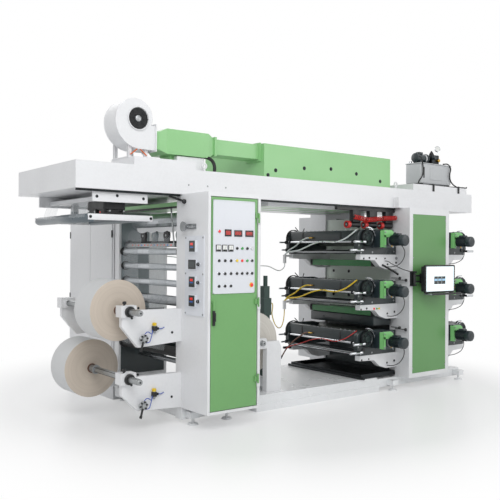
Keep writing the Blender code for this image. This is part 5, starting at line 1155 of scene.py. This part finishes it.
def makePowerPack():
    shape = bmesh.new()
    (x0, x1), (y0, y1), (z0, z1) = (pack[key] for key in ("x", "y", "z"))
    addBox(shape, (x0 + 0.004, y0 + 0.004, z0), (x1 - 0.004, y1 - 0.004, z1 - 0.012), 0, 0.012, 3)
    addBox(shape, (x0, y0, z1 - 0.012), (x1, y1, z1), 0, 0.002)
    addBox(shape, (x0 + 0.2, y0 - 0.0008, z0 + 0.05), (x0 + 0.46, y0 + 0.006, z1 - 0.05), 0, 0.003)
    for x in (x0 + 0.03, x1 - 0.07):
        addBox(shape, (x, y0 + 0.01, pack["foot"]), (x + 0.04, y1 - 0.01, z0 + 0.004), 3, 0.002)
    # sight gauge and drain
    addBox(shape, (x0 + 0.06, y0 - 0.0008, z0 + 0.07), (x0 + 0.085, y0 + 0.006, z1 - 0.06), 3, 0.002)
    addRod(shape, (x1 - 0.08, y0 + 0.003, z0 + 0.03), (x1 - 0.08, y0 - 0.0008, z0 + 0.03), 0.012, 5, sides=16)
    y, z = pack["motorY"], pack["motorZ"]
    addKnob(shape, (x0 + 0.03, y, z), (1, 0, 0), [(0, 0.05), (0.008, 0.062), (0.055, 0.062), (0.06, 0.052),
        (0.21, 0.052), (0.216, 0.066), (0.236, 0.066)], 1, 40)
    addBox(shape, (x0 + 0.09, y - 0.035, z + 0.046), (x0 + 0.17, y + 0.035, z + 0.08), 1, 0.006)
    for x in (x0 + 0.08, x0 + 0.19):
        addBox(shape, (x, y - 0.06, z1 - 0.002), (x + 0.028, y + 0.06, z - 0.04), 1, 0.003)
    addTurned(shape, (x0 + 0.262, y, z), (1, 0, 0), [(0, 0.0), (0, 0.045), (0.03, 0.045), (0.034, 0.034),
        (0.085, 0.034), (0.088, 0.0)], 2, 32)
    # valve block with two solenoids, a pointed knob, and a dial on a stem
    addBox(shape, (5.322, 0.362, z1 - 0.004), (5.468, 0.498, 3.0), 2, 0.006, 2)
    addRod(shape, (5.34, 0.365, 2.955), (5.34, 0.318, 2.955), 0.022, 1, sides=24)
    addRod(shape, (5.43, 0.365, 2.925), (5.43, 0.328, 2.925), 0.022, 7, sides=24)
    addTurned(shape, (5.39, 0.43, 2.998), (0, 0, 1), [(0, 0.0), (0, 0.03), (0.02, 0.034), (0.044, 0.02),
        (0.066, 0.006), (0.068, 0.0)], 3, 28)
    addRod(shape, (5.47, 0.39, 2.985), (5.47, 0.39, 3.055), 0.009, 5, sides=16)
    addBox(shape, (5.455, 0.375, 2.95), (5.485, 0.405, 2.99), 7, 0.003)
    addKnob(shape, (5.47, 0.402, 3.089), (-0.35, -0.9, 0.2), [(0, 0.036), (0.004, 0.041), (0.024, 0.041),
        (0.026, 0.036), (0.022, 0.034)], 5, 40)
    addRod(shape, (5.4625, 0.3825, 3.0934), (5.4618, 0.3808, 3.0938), 0.034, 6, sides=36)
    # black pump lines down the tank's face to the beam, and the long line along its foot
    hose = 0.0085
    addTube(shape, [(x0 + 0.05, 0.36, 2.955), (x0 + 0.035, 0.315, 2.93), (x0 + 0.03, y0 - 0.01, z1 - 0.02),
        (x0 + 0.036, y0 - 0.012, 2.74), (x0 + 0.012, y0 - 0.014, 2.68), (x0 - 0.06, y0 - 0.016, 2.6),
        (x0 - 0.075, y0 - 0.016, 2.545)], hose, 4)
    addTube(shape, [(5.55, 0.36, z1 + 0.02), (5.6, 0.315, z1 + 0.018), (5.622, y0 - 0.012, z1 - 0.03),
        (5.6, y0 - 0.014, 2.72), (5.64, y0 - 0.012, 2.64), (5.655, 0.18, 2.555), (5.65, 0.05, 2.545),
        (5.6, 0.012, 2.545)], hose, 4)
    addTube(shape, [(x0 - 0.03, 0.2, 2.5402), (5.2, 0.12, 2.5402), (5.45, 0.06, 2.5402), (5.58, 0.03, 2.5402)], hose,
        4, 12, 0.03)
    addBox(shape, (5.42, 0.4, z1), (5.64, 0.45, z1 + 0.022), 3, 0.003)
    addBand(shape, (x0 + 0.215, 0.43, z - 0.004), (1, 0, 0), 0.012, 0.054, 0.064, 8, 36)
    addRod(shape, (x0 + 0.03, 0.5, z1), (x0 + 0.03, 0.5, z1 + 0.03), 0.024, 5, sides=24)
    for x in (4.892, 5.415):
        addBox(shape, (x - 0.011, 0.01, 2.5313), (x + 0.011, 0.2, 2.546), 3, 0.002)
        addBox(shape, (x - 0.011, -0.006, 2.452), (x + 0.011, 0.012, 2.546), 3, 0.002)
    finishShape("power_pack_tank", shape, packFinishes, "press", ("power_pack",))


makePowerPack()
print("stage: power pack")


# operator screen: a rounded case with a lit field of plain tiles, a tray and a joystick holder
screenPlace = {
    "x": (4.3, 4.88), "z": (1.175, 1.515), "front": -0.345, "back": -0.262,
    # start, end and level of each faint line on the page
    "lines": ((0.08, 0.2, 0.255), (0.05, 0.11, 0.15), (0.05, 0.11, 0.09), (0.42, 0.47, 0.09), (0.18, 0.34, 0.04)),
}
screenFinishes = [blackPlastic, darkSteel, screenGlow, screenBlue, screenGrey, castAluminium, redPlastic,
    yellowPlastic, glassDark]


def makeScreen():
    shape = bmesh.new()
    (x0, x1), (z0, z1) = screenPlace["x"], screenPlace["z"]
    front, back = screenPlace["front"], screenPlace["back"]
    addBox(shape, (x0, front, z0), (x1, front + 0.034, z1), 0, 0.014, 3)
    addBox(shape, (x0 + 0.018, front + 0.026, z0 + 0.018), (x1 - 0.018, back, z1 - 0.018), 0, 0.01, 2)
    addBox(shape, (x0 + 0.012, front - 0.0008, z0 + 0.014), (x1 - 0.03, front + 0.004, z1 - 0.012), 8, 0.0006)
    # a plain process page: one dark block of tiles and a few faint lines
    sx0, sx1, sz0, sz1 = x0 + 0.018, x1 - 0.036, z0 + 0.022, z1 - 0.02
    addBox(shape, (sx0, front - 0.0014, sz0), (sx1, front, sz1), 2, 0.0)
    for i in range(3):
        left = sx0 + 0.145 + i * 0.074
        addBox(shape, (left, front - 0.002, sz0 + 0.085), (left + 0.07, front, sz0 + 0.18), 8, 0.0)
        addBox(shape, (left + 0.006, front - 0.0024, sz0 + 0.126), (left + 0.064, front, sz0 + 0.15), 3, 0.0)
    for start, end, level in screenPlace["lines"]:
        addBox(shape, (sx0 + start, front - 0.0018, sz0 + level), (sx0 + end, front, sz0 + level + 0.006), 4, 0.0)
    for i in range(8):
        addRod(shape, (x1 - 0.018, front + 0.002, z0 + 0.06 + i * 0.03),
            (x1 - 0.018, front - 0.0016, z0 + 0.06 + i * 0.03), 0.006, 5 if i else 6, sides=16, chamfer=0.0005)
    # tray under the case
    addBox(shape, (x0 + 0.012, front - 0.098, z0 - 0.018), (x1 - 0.012, front + 0.04, z0 - 0.006), 5, 0.003)
    addBox(shape, (x0 + 0.012, front - 0.099, z0 - 0.018), (x1 - 0.012, front - 0.088, z0 + 0.006), 0, 0.003)
    for x in (x0 + 0.03, x1 - 0.06):
        addBox(shape, (x, front + 0.006, z0 - 0.01), (x + 0.03, front + 0.03, z0 + 0.012), 1, 0.002)
    finishShape("screen_case", shape, screenFinishes, "screen", ("operator_screen",))


makeScreen()
print("stage: operator screen")


# air cylinders hanging from a rail over the first unit, fed by red coiled lines
airRow = {
    "rail": (3.198, 4.188), "hangers": (3.513, 3.798, 4.078), "y": 0.06, "level": 1.987,
    "coils": [(3.43, 2.075), (3.66, 2.045), (3.92, 2.07), (4.17, 2.085)], "coilRadius": 0.024, "lineRadius": 0.0055,
}


def makeAirRow():
    shape = bmesh.new()
    y, level = airRow["y"], airRow["level"]
    addBox(shape, (airRow["rail"][0], y - 0.022, 2.152), (airRow["rail"][1], y + 0.022, 2.2065), 0, 0.003)
    for x in airRow["hangers"]:
        addBox(shape, (x - 0.066, y - 0.03, 2.017), (x + 0.066, y + 0.03, 2.157), 0, 0.005, 2)
        addKnob(shape, (x - 0.14, y, level), (1, 0, 0), [(0, 0.028), (0.004, 0.033), (0.04, 0.033), (0.046, 0.03),
            (0.17, 0.03), (0.176, 0.034), (0.206, 0.034)], 0, 32)
        addRing(shape, (x - 0.145, y, level), (1, 0, 0), [(0.0, 0.029), (0.0, 0.04), (0.004, 0.043), (0.044, 0.043),
            (0.048, 0.04), (0.048, 0.0335)], 1, 40)
        addRod(shape, (x - 0.15, y, level), (x - 0.138, y, level), 0.012, 2, sides=16)
    for x, z in airRow["coils"]:
        addBox(shape, (x - 0.01, -0.006, z - 0.01), (x + 0.01, 0.034, z + 0.01), 0, 0.002)
    finishShape("air_cylinder_row", shape, [blackPlastic, redPlastic, dullSteel], "press", ("air_cylinders",))
    places = []
    for (x0, z0), (x1, z1) in zip(airRow["coils"], airRow["coils"][1:]):
        slope = math.atan2(z1 - z0, x1 - x0)
        places.append(Matrix.Translation(at(x0, -0.006, z0)) @ Matrix.Rotation(math.pi / 2 - slope, 4, "Y"))
    repeatedPiece("coiled_air_lines", coilTree, places, turns=9.0, coilRadius=airRow["coilRadius"], length=0.245,
        lineRadius=airRow["lineRadius"], steps=14, finish=redPlastic)


makeAirRow()
print("stage: air cylinders")


# tower bay: underside panel with pale green strips of painted reflection and dark strips of painted shadow under the
# beam's front edge, inner wall with its round holes as black discs of painted shade, bracket fittings, box under the
# second bar
bay = {
    "wallX": 4.222, "wallY": (0.121, 1.269), "split": 0.96, "under": 2.2068,
    # X, Z, radius and colour of each hole, slot, lamp and knob on the near brackets
    "fittings": (
        (3.605, 1.59, 0.011, 4), (3.819, 1.59, 0.01, 4), (3.975, 1.59, 0.01, 4), (4.175, 1.594, 0.018, 10),
        (4.175, 1.538, 0.014, 4), (3.7, 1.598, 0.012, 4), (4.02, 1.52, 0.012, 4), (3.564, 0.992, 0.011, 4),
        (3.66, 1.0, 0.012, 4), (3.785, 0.992, 0.012, 5), (3.832, 0.992, 0.01, 6), (3.871, 0.992, 0.012, 7),
        (4.15, 0.94, 0.014, 4), (4.02, 0.925, 0.012, 4), (3.58, 0.397, 0.011, 4), (3.7, 0.4, 0.01, 4),
        (4.15, 0.345, 0.014, 4), (4.02, 0.33, 0.012, 4),
    ),
}
bayFinishes = [whiteEnamel, ductGreen, litWallEnamel, unitSlate, blackPlastic, redLens, greenLens, yellowLens,
    blackRubber, darkSteel, dullSteel]


def makeTowerBay():
    shape = bmesh.new()
    addBox(shape, (2.35, 0.25, 2.165), (4.1, 1.3, bay["under"]), 0, 0.003)
    # pale green strips on the underside panel: painted green reflection
    for y in (0.34, 0.56, 0.84):
        addBox(shape, (2.38, y, 2.1635), (4.07, y + 0.1, 2.166), 1, 0.0)
    # dark strips along the beam's lower front edge: painted shadow under its flange
    addBox(shape, (1.71, 0.03, 2.188), (4.19, 0.052, bay["under"]), 9, 0.002)
    addBox(shape, (0.02, 0.03, 2.188), (1.085, 0.052, bay["under"]), 9, 0.002)
    (low, high), x = bay["wallY"], bay["wallX"]
    # upper part of the inner wall, in the pale green that carries painted light
    addBox(shape, (x, low, bay["split"]), (x + 0.01, high, 2.1), 2, 0.0)
    addBox(shape, (x, low, 0.2), (x + 0.01, high, bay["split"] - 0.004), 3, 0.0)
    # round holes in the wall, drawn as flush black discs: painted shade inside them
    for z in (1.68, 1.415, 1.1):
        for y in (0.849, 1.132):
            addRod(shape, (x + 0.002, y, z), (x - 0.003, y, z), 0.021, 4, sides=24)
    addBox(shape, (4.4, 1.2655, 2.095), (4.66, 1.2695, 2.125), 4, 0.001)
    # box on the wall under the second drying bar
    addBox(shape, (3.86, 0.08, 0.775), (4.17, 1.19, 0.89), 3, 0.008, 2)
    for y in (0.3, 0.95):
        addBox(shape, (4.165, y, 0.8), (x + 0.004, y + 0.06, 0.86), 9, 0.002)
    for y in (0.3, 0.62, 0.94):
        addRod(shape, (3.862, y, 0.835), (3.857, y, 0.835), 0.012, 4, sides=16)
    # caps on the ends of the drying bars
    for node in ("drying_bar_1", "drying_bar_2"):
        lo, hi = machineBox(node)
        for y0, y1 in ((lo.y - 0.0006, lo.y + 0.045), (hi.y - 0.045, hi.y + 0.0006)):
            addBox(shape, (lo.x - 0.001, y0, lo.z - 0.001), (hi.x + 0.001, y1, hi.z + 0.001), 8, 0.002)
    # holes and slots in the brackets are flush black discs of painted shade; lamps and knobs stand out from the
    # brackets
    for x, z, radius, slot in bay["fittings"]:
        addRod(shape, (x, 0.0062, z), (x, -0.006 if slot != 4 else -0.001, z), radius, slot, sides=20)
    # a lever with a knob beside each motor, and the near end of the first bar's hose
    for z in (1.23, 0.635):
        for x, y, rise in ((4.165, -0.15, 0.1), (4.09, -0.12, 0.125)):
            addRod(shape, (x, 0.004, z + rise), (x, y, z + rise), 0.007, 10, sides=12)
            addKnob(shape, (x, y + 0.004, z + rise), (0, -1, 0), [(0, 0.012), (0.006, 0.018), (0.022, 0.018),
                (0.028, 0.01)], 4, 20)
    addTube(shape, [(3.925, 0.055, 1.515), (3.93, 0.01, 1.512), (3.945, -0.06, 1.48), (4.01, -0.095, 1.44),
        (4.092, -0.1, 1.399)], 0.012, 8)
    finishShape("tower_bay", shape, bayFinishes, "press", ())


makeTowerBay()
print("stage: tower bay")


# left bay: underside, dancer discs with their scalloped plate, static bar, roller sockets, grey painted shade on the
# back wall
leftBay = {
    "rollers": [(1.15, 1.656, 0.034), (1.16, 1.5, 0.034), (1.17, 1.338, 0.034), (1.18, 1.165, 0.05),
                (1.16, 0.665, 0.05)],
    "low": 0.1, "high": 1.29, "discs": (0.9, 0.665, 0.43, 0.195), "discLevel": 1.82, "barLevel": 1.752,
}
leftFinishes = [whiteEnamel, ductGreen, blackPlastic, discGreyAndWallShade, unitSlate, dullSteel, blackRubber, redLens,
    orangePlastic, blueLens, drawnRoller]


def makeLeftBay():
    shape = bmesh.new()
    low, high = leftBay["low"], leftBay["high"]
    addBox(shape, (1.1, low + 0.005, 2.1), (1.6, high - 0.005, 2.14), 1, 0.003)
    addBox(shape, (1.1, low + 0.005, 2.08), (1.115, high - 0.005, 2.1), 2, 0.001)
    # grey sheets on the far frame's white inner face: painted shade, with darker painted shade low down
    addBox(shape, (1.115, high - 0.012, 1.02), (1.46, high - 0.001, 2.08), 3, 0.0)
    addBox(shape, (1.115, high - 0.012, 0.3), (1.66, high - 0.001, 1.015), 4, 0.0)
    addBox(shape, (1.6, low + 0.02, 0.55), (1.64, high - 0.02, 1.0), 4, 0.004)
    # scalloped plate over four discs
    scallop = [(0.2 + 0.8 * i / 48, 1.868 - 0.018 * abs(math.sin(math.pi * i / 12))) for i in range(49)]
    addPlate(shape, [(0.18, 1.905), *scallop, (1.02, 1.905)], 1.158, 1.163, 0, 0.0, alongX=True)
    z = leftBay["discLevel"]
    for y, slot in zip(leftBay["discs"], (2, 3, 2, 3)):
        addRod(shape, (1.166, y, z), (1.192, y, z), 0.052, slot, sides=40)
        addRod(shape, (1.162, y, z), (1.168, y, z), 0.012, 5, sides=16)
        addBox(shape, (1.17, y - 0.045, 1.745), (1.19, y + 0.045, z), slot, 0.002)
    z = leftBay["barLevel"]
    addRod(shape, (1.178, low, z), (1.178, high, z), 0.012, 6, sides=20)
    addKnob(shape, (1.178, high - 0.06, z), (0, -1, 0), [(0, 0.026), (0.03, 0.026), (0.034, 0.018)], 6, 24)
    # static bar with its coloured pins
    addBox(shape, (1.148, low, 1.7), (1.17, high, 1.742), 5, 0.003)
    for i in range(13):
        y = 1.09 - i * 0.066
        addRod(shape, (1.15, y, 1.722), (1.1455, y, 1.722), 0.009, (7, 8, 7, 9)[i % 4], sides=12)
    addRod(shape, (1.14, 0.287, 2.084), (1.14, 0.224, 1.7), 0.008, 5, sides=16)
    # sockets at both ends of each roller
    for x, z, radius in leftBay["rollers"]:
        for y, way in ((low, 1), (high, -1)):
            addRing(shape, (x, y, z), (0, way, 0), [(0, radius + 0.006), (0, radius + 0.016), (0.026, radius + 0.016),
                (0.03, radius + 0.012), (0.03, radius + 0.006)], 2, 36)
    for x, z in ((1.4, 0.86), (1.46, 0.7), (1.36, 0.52)):
        addRod(shape, (x, low, z), (x, high, z), 0.026, 10, sides=28)
        addRod(shape, (x, low, z), (x, low + 0.03, z), 0.036, 2, sides=28)
    addRod(shape, (1.075, 0.22, 2.2), (1.075, -0.05, 2.135), 0.011, 2, sides=16)
    addKnob(shape, (1.075, -0.04, 2.137), (0, -0.97, -0.24), [(0, 0.017), (0.006, 0.022), (0.022, 0.022),
        (0.03, 0.014)], 2, 24)
    finishShape("left_tower_bay", shape, leftFinishes, "press", ())


makeLeftBay()
print("stage: left bay")


# web guide: white beams with bolts, slate rollers, a black shifting mechanism and an edge sensor
guide = {"x": (0.15, 0.8), "front": (0.06, 0.08), "rear": (1.31, 1.33), "hanger": 2.1, "z": 1.935, "top": 2.2067}
guideFinishes = [whiteEnamel, guideSlate, blackPlastic, dullSteel, castAluminium, redLens, darkSteel]


def makeWebGuide():
    shape = bmesh.new()
    (x0, x1), z, hanger = guide["x"], guide["z"], guide["hanger"]
    for low, high in (guide["front"], guide["rear"]):
        addBox(shape, (x0 + 0.04, low, hanger), (x1 - 0.055, high, guide["top"]), 0, 0.002)
        addBox(shape, (x0, low, z), (x1, high, z + 0.055), 0, 0.004, 2)
    start, end = guide["front"][0] + 0.01, guide["rear"][1] - 0.01
    addBox(shape, (x0 + 0.15, start, hanger + 0.02), (x1 - 0.18, end, hanger + 0.06), 0, 0.003)
    length = end - start
    addKnob(shape, (x0 + 0.035, start, z + 0.02), (0, 1, 0), [(0, 0.036), (0.006, 0.04), (length * 0.28, 0.04),
        (length * 0.29, 0.0445), (length * 0.52, 0.0445), (length * 0.53, 0.041), (length * 0.97, 0.041),
        (length - 0.004, 0.036), (length, 0.012)], 1, 40)
    addRod(shape, (x1 - 0.035, start, z + 0.027), (x1 - 0.035, end, z + 0.027), 0.03, 1, sides=32)
    addBox(shape, (x0 + 0.25, start, z + 0.02), (x0 + 0.37, end, z + 0.05), 6, 0.003)
    # shifting mechanism: motor, screw, slides and plates
    addBox(shape, (x0 + 0.2, 0.17, z + 0.105), (x0 + 0.42, 0.51, hanger + 0.021), 2, 0.004)
    for near, far in ((0.18, 0.29), (0.4, 0.5)):
        addBox(shape, (x0 + 0.21, near, z + 0.048), (x0 + 0.41, far, z + 0.11), 2, 0.006)
    addRod(shape, (x0 + 0.195, 0.345, z + 0.085), (x0 + 0.43, 0.345, z + 0.085), 0.03, 2, sides=28)
    addRod(shape, (x0 + 0.192, 0.345, z + 0.085), (x0 + 0.2, 0.345, z + 0.085), 0.014, 4, sides=20)
    for x in (x0 + 0.24, x0 + 0.38):
        addRod(shape, (x, 0.12, z + 0.09), (x, 0.58, z + 0.09), 0.009, 3, sides=16)
    addRod(shape, (x0 + 0.2, 0.24, z + 0.08), (x0 + 0.196, 0.24, z + 0.08), 0.008, 5, sides=16)
    # sensor on its post
    addBox(shape, (x0 + 0.28, 1.02, z + 0.046), (x0 + 0.34, 1.08, hanger + 0.022), 4, 0.003)
    addRod(shape, (x0 + 0.31, 1.05, z + 0.075), (x0 + 0.31, 1.05, z + 0.12), 0.038, 1, sides=28)
    finishShape("web_guide_frame", shape, guideFinishes, "press", ("web_guide",))
    bolts = []
    for y, way in ((guide["front"][0], front), (guide["rear"][1], back)):
        for x, level in ((x0 + 0.08, hanger + 0.045), (x0 + 0.28, hanger + 0.06), (x1 - 0.1, hanger + 0.045),
                         (x0 + 0.02, z + 0.028), (x1 - 0.02, z + 0.028)):
            bolts.append(((x, y, level), way))
    screwPiece("web_guide_bolts", bolts, 0.009, 0.008, darkSteel)


makeWebGuide()
print("stage: web guide")


# web of milky film, in two narrow strips down the rollers and two at the guide, held taut
film = {
    "gauge": 0.0004, "columns": 8,
    "line": [(1.2345, 1.975), (1.1135, 1.656), (1.1215, 1.5), (1.1295, 1.338), (1.127, 1.165), (1.1075, 0.665)],
    "guideLine": [(0.1385, 1.96), (0.158, 2.03), (0.182, 2.1)],
}


def makeStrip(name, line, low, high):
    shape = bmesh.new()
    columns = film["columns"]
    places = [low + (high - low) * j / columns for j in range(columns + 1)]
    rows = [[shape.verts.new(at(x - film["gauge"], y, z)) for y in places] for x, z in line]
    for upper, lower in zip(rows, rows[1:]):
        for j in range(columns):
            shape.faces.new((upper[j], upper[j + 1], lower[j + 1], lower[j]))
    made = finishShape(name, shape, [clearFilm], "press", ())


makeStrip("near_film_strip", film["line"], 0.35, 0.7)
makeStrip("far_film_strip", film["line"], 0.92, 1.25)
makeStrip("guide_film_far", film["guideLine"], 0.77, 1.09)
makeStrip("guide_film_near", film["guideLine"], 0.12, 0.46)
print("stage: film")


# unwind arm fittings: bearing heads with clamps, brakes, regulators and blue air lines
arms = {"heads": (1.107, 0.497), "axisX": 0.515, "brake": (0.661, 0.256), "regulator": (0.784, 0.168)}
armFinishes = [whiteEnamel, blackPlastic, castAluminium, yellowPlastic, blueHose, darkSteel, blackRubber, dullSteel]


def makeArmFittings():
    shape = bmesh.new()
    bolts = []
    for head in arms["heads"]:
        x = arms["axisX"]
        # shaft nose: a black collar round the near shaft end, a white plate above it and a black knob on top
        addRing(shape, (x, -0.034, head), (0, -1, 0), [(0, 0.0305), (0, 0.05), (0.018, 0.05), (0.024, 0.044),
            (0.024, 0.0305)], 1, 36)
        addBox(shape, (x - 0.05, -0.03, head + 0.044), (x + 0.05, -0.002, head + 0.062), 0, 0.003)
        addKnob(shape, (x - 0.045, -0.016, head + 0.058), (0, 0, 1), [(0, 0.01), (0.012, 0.01), (0.014, 0.018),
            (0.034, 0.018), (0.038, 0.012)], 1, 24)
        # brake: a ribbed disc with black bolts, a hub and a black handle
        bx, bz = arms["brake"][0], head - arms["brake"][1]
        addKnob(shape, (bx, -0.0262, bz), (0, -1, 0), [(0, 0.044), (0.01, 0.044), (0.014, 0.038), (0.014, 0.02),
            (0.026, 0.018)], 2, 40)
        for px, pz in circlePoints(bx, bz, 0.034, 6, 10):
            addRod(shape, (px, -0.036, pz), (px, -0.052, pz), 0.009, 1, sides=14)
        addRod(shape, (bx - 0.01, -0.04, bz - 0.03), (bx - 0.026, -0.04, bz - 0.092), 0.01, 1, sides=16)
        addKnob(shape, (bx - 0.026, -0.04, bz - 0.09), (-0.25, 0, -0.97), [(0, 0.013), (0.02, 0.013), (0.024, 0.009)],
            6, 16)
        # regulator with its bowl, gauge and yellow knob
        rx, rz = arms["regulator"][0], head - arms["regulator"][1]
        addBox(shape, (rx - 0.022, -0.032, rz - 0.022), (rx + 0.022, 0.004, rz + 0.022), 1, 0.004, 2)
        addKnob(shape, (rx, -0.015, rz - 0.02), (0, 0, -1), [(0, 0.014), (0.018, 0.0135), (0.024, 0.008)], 7, 24)
        addKnob(shape, (rx, -0.015, rz + 0.02), (0, 0, 1), [(0, 0.01), (0.008, 0.01), (0.008, 0.019), (0.03, 0.02),
            (0.034, 0.016)], 3, 28)
        addBox(shape, (rx + 0.022, -0.024, rz - 0.012), (rx + 0.045, -0.002, rz + 0.01), 5, 0.002)
        addTube(shape, [(bx + 0.004, -0.046, bz + 0.046), (bx + 0.03, -0.048, bz + 0.066),
            (bx + 0.062, -0.046, bz + 0.052), (bx + 0.082, -0.034, bz + 0.04), (rx - 0.02, -0.016, rz - 0.01)], 0.004,
            4, 8, 0.012)
        addTube(shape, [(bx + 0.02, -0.04, bz - 0.036), (bx + 0.055, -0.042, bz - 0.03),
            (bx + 0.076, -0.036, bz + 0.008), (rx - 0.02, -0.02, rz - 0.018)], 0.004, 4, 8, 0.012)
        addTube(shape, [(rx + 0.044, -0.013, rz), (rx + 0.07, -0.012, rz - 0.006), (rx + 0.11, -0.006, rz + 0.006)],
            0.004, 4, 8, 0.012)
        for px, pz in ((0.984, head - 0.217), (0.62, head + 0.028), (0.475, head - 0.036), (0.555, head - 0.06)):
            bolts.append(((px, -0.0005, pz), front))
    finishShape("unwind_arm_fittings", shape, armFinishes, "press", ())
    screwPiece("unwind_arm_bolts", bolts, 0.008, 0.006, darkSteel)


makeArmFittings()
print("stage: arm fittings")


# tension panel faces, door handle and hinges, rear cabinet doors, bolts of hood, duct and beam
trim = {
    "tensionY": (-0.275, -0.165), "tensionZ": ((1.65, 1.765), (1.32, 1.43), (1.142, 1.255)),
    "tensionKnobs": (1.54, 1.372, 1.198), "leaves": ((1.45, 2.003), (2.011, 2.57)), "leafZ": (0.14, 2.14),
    "leafHinges": (0.4, 1.1, 1.85), "doorHinges": (0.45, 1.18, 1.98),
    "eyebolts": ((1.36, 0.03), (4.19, 0.03), (1.36, 1.36), (4.19, 1.36)),
    "hoodBolts": ((2.29, 2.531), (2.7, 2.584), (3.107, 2.607), (3.521, 2.582), (3.931, 2.521)),
}
trimFinishes = [unitSlate, blackPlastic, redLens, blueLens, chromedSteel, whiteEnamel, darkSteel, doorGreen,
    blackRubber]


def makeTrim():
    shape = bmesh.new()
    y0, y1 = trim["tensionY"]
    middle = (y0 + y1) / 2
    for z0, z1 in trim["tensionZ"]:
        addBox(shape, (1.0558, y0 + 0.006, z0 + 0.006), (1.059, y1 - 0.006, z1 - 0.006), 0, 0.001)
        addBox(shape, (1.0548, middle - 0.02, z1 - 0.048), (1.056, middle + 0.026, z1 - 0.026), 2, 0.0)
        addBox(shape, (1.0548, middle - 0.022, z0 + 0.044), (1.056, middle + 0.03, z0 + 0.052), 3, 0.0)
        for y in (y0 + 0.028, y0 + 0.055, y0 + 0.082):
            addRod(shape, (1.0562, y, z0 + 0.024), (1.0545, y, z0 + 0.024), 0.008, 1, sides=14)
    addBox(shape, (1.062, -0.276, 1.494), (1.065, -0.149, 1.581), 1, 0.001)
    addBox(shape, (1.061, -0.262, 1.508), (1.0622, -0.163, 1.567), 0, 0.0)
    for z in trim["tensionKnobs"]:
        addKnob(shape, (1.066, -0.32, z), (-1, 0, 0), [(0, 0.018), (0.008, 0.018), (0.012, 0.014), (0.018, 0.013)], 1,
            24)
    finishShape("tension_displays", shape, trimFinishes, "press", ())
    # rear cabinet: two door leaves, hinges, handles
    shape = bmesh.new()
    low, high = trim["leafZ"]
    for y0, y1 in trim["leaves"]:
        addBox(shape, (1.0795, y0, low), (1.0898, y1, high), 5, 0.003)
        handleY = y1 - 0.06 if y0 < 1.5 else y0 + 0.06
        addBox(shape, (1.07, handleY - 0.014, 1.02), (1.08, handleY + 0.014, 1.16), 1, 0.004, 2)
        hingeY = y0 if y0 < 1.5 else y1
        for z in trim["leafHinges"]:
            addRod(shape, (1.079, hingeY, z - 0.04), (1.079, hingeY, z + 0.04), 0.008, 6, sides=14)
    addBox(shape, (1.1, 2.5998, 0.25), (1.69, 2.603, 2.05), 5, 0.001)
    finishShape("rear_cabinet_leaves", shape, trimFinishes, "press", ())
    shape = bmesh.new()
    for z in trim["doorHinges"]:
        addRod(shape, (1.664, -0.4605, z - 0.045), (1.664, -0.4605, z + 0.045), 0.009, 7, sides=16)
    addBox(shape, (1.136, -0.4655, 0.98), (1.16, -0.448, 1.12), 1, 0.004, 2)
    addBox(shape, (1.14, -0.48, 1.02), (1.156, -0.465, 1.04), 1, 0.003)
    addBox(shape, (1.14, -0.483, 1.02), (1.156, -0.477, 1.1), 1, 0.003)
    finishShape("door_hardware", shape, trimFinishes, "door", ())
    # eyebolts along the beam, with shanks
    shape = bmesh.new()
    for x, y in trim["eyebolts"]:
        addRod(shape, (x, y, 2.4505), (x, y, 2.474), 0.012, 5, sides=16)
        addRing(shape, (x, y - 0.006, 2.5), (0, 1, 0), [(0, 0.018), (-0.003, 0.024), (0, 0.031), (0.012, 0.031),
            (0.015, 0.024), (0.012, 0.018)], 5, 32)
    addTube(shape, [(1.405, 0.18, 2.605), (1.452, 0.12, 2.6), (1.478, 0.06, 2.56), (1.482, 0.03, 2.5),
        (1.482, 0.03, 2.453)], 0.017, 8, 14, 0.02)
    addBox(shape, (1.1, 0.12, 2.455), (1.42, 0.3, 2.59), 5, 0.004)
    finishShape("beam_top_fittings", shape, trimFinishes, "press", ())
    bolts = [((x, 0.0495, z), front) for x, z in ((2.185, 2.473), *trim["hoodBolts"])]
    bolts += [((x, 1.1505, z), back) for x, z in trim["hoodBolts"]]
    screwPiece("hood_bolts", bolts, 0.014, 0.008, darkSteel)
    coverFace = machineBox("front_cover")[0].y - 0.0002
    small = [((x, coverFace, z), front) for x in (4.27, 4.89) for z in (0.26, 0.85, 1.6, 2.07)]
    small += [((1.0795, y, z), left) for z in (1.078, 1.787, 1.45) for y in (-0.372, -0.081)]
    small += [((x, y, 2.3), way) for x in (1.16, 1.38, 1.6) for y, way in ((-0.0002, front), (1.39, back))]
    screwPiece("panel_screws", small, 0.006, 0.004, dullSteel, "press", 10)


makeTrim()
print("stage: trim")


# drive leads, each a free length of rubber cable between two glands
leads = {
    "diameter": 0.009,
    "left": [(3.931, -0.1, -0.06), (3.98, -0.1, -0.06), (4.1, -0.135, -0.07), (4.14, -0.16, -0.145),
             (4.128, -0.15, -0.24), (4.085, -0.11, -0.31), (4.03, -0.05, -0.335), (4.022, -0.01, -0.335),
             (4.022, 0.0045, -0.335)],
    "right": [(5.266, -0.1, -0.06), (5.31, -0.1, -0.06), (5.37, -0.11, -0.1), (5.385, -0.115, -0.17),
              (5.35, -0.105, -0.245), (5.27, -0.075, -0.29), (5.16, -0.045, -0.305), (5.09, -0.02, -0.31),
              (5.078, 0.0045, -0.31)],
    "screen": [(3.975, 0.0045, 1.56), (3.975, -0.03, 1.558), (3.99, -0.11, 1.52), (4.06, -0.18, 1.47),
               (4.14, -0.205, 1.445), (4.195, -0.215, 1.432), (4.204, -0.216, 1.431)],
}
for row, z in enumerate(unit["heights"]):
    for number, side in ((row + 1, "left"), (row + 4, "right")):
        route = [(x, y, round(z + rise, 4)) for x, y, rise in leads[side]]
        makeHose(f"unit_{number}_lead", route, blackRubber, leads["diameter"])
makeHose("screen_lead", leads["screen"], blackRubber, leads["diameter"])
print("stage: leads")
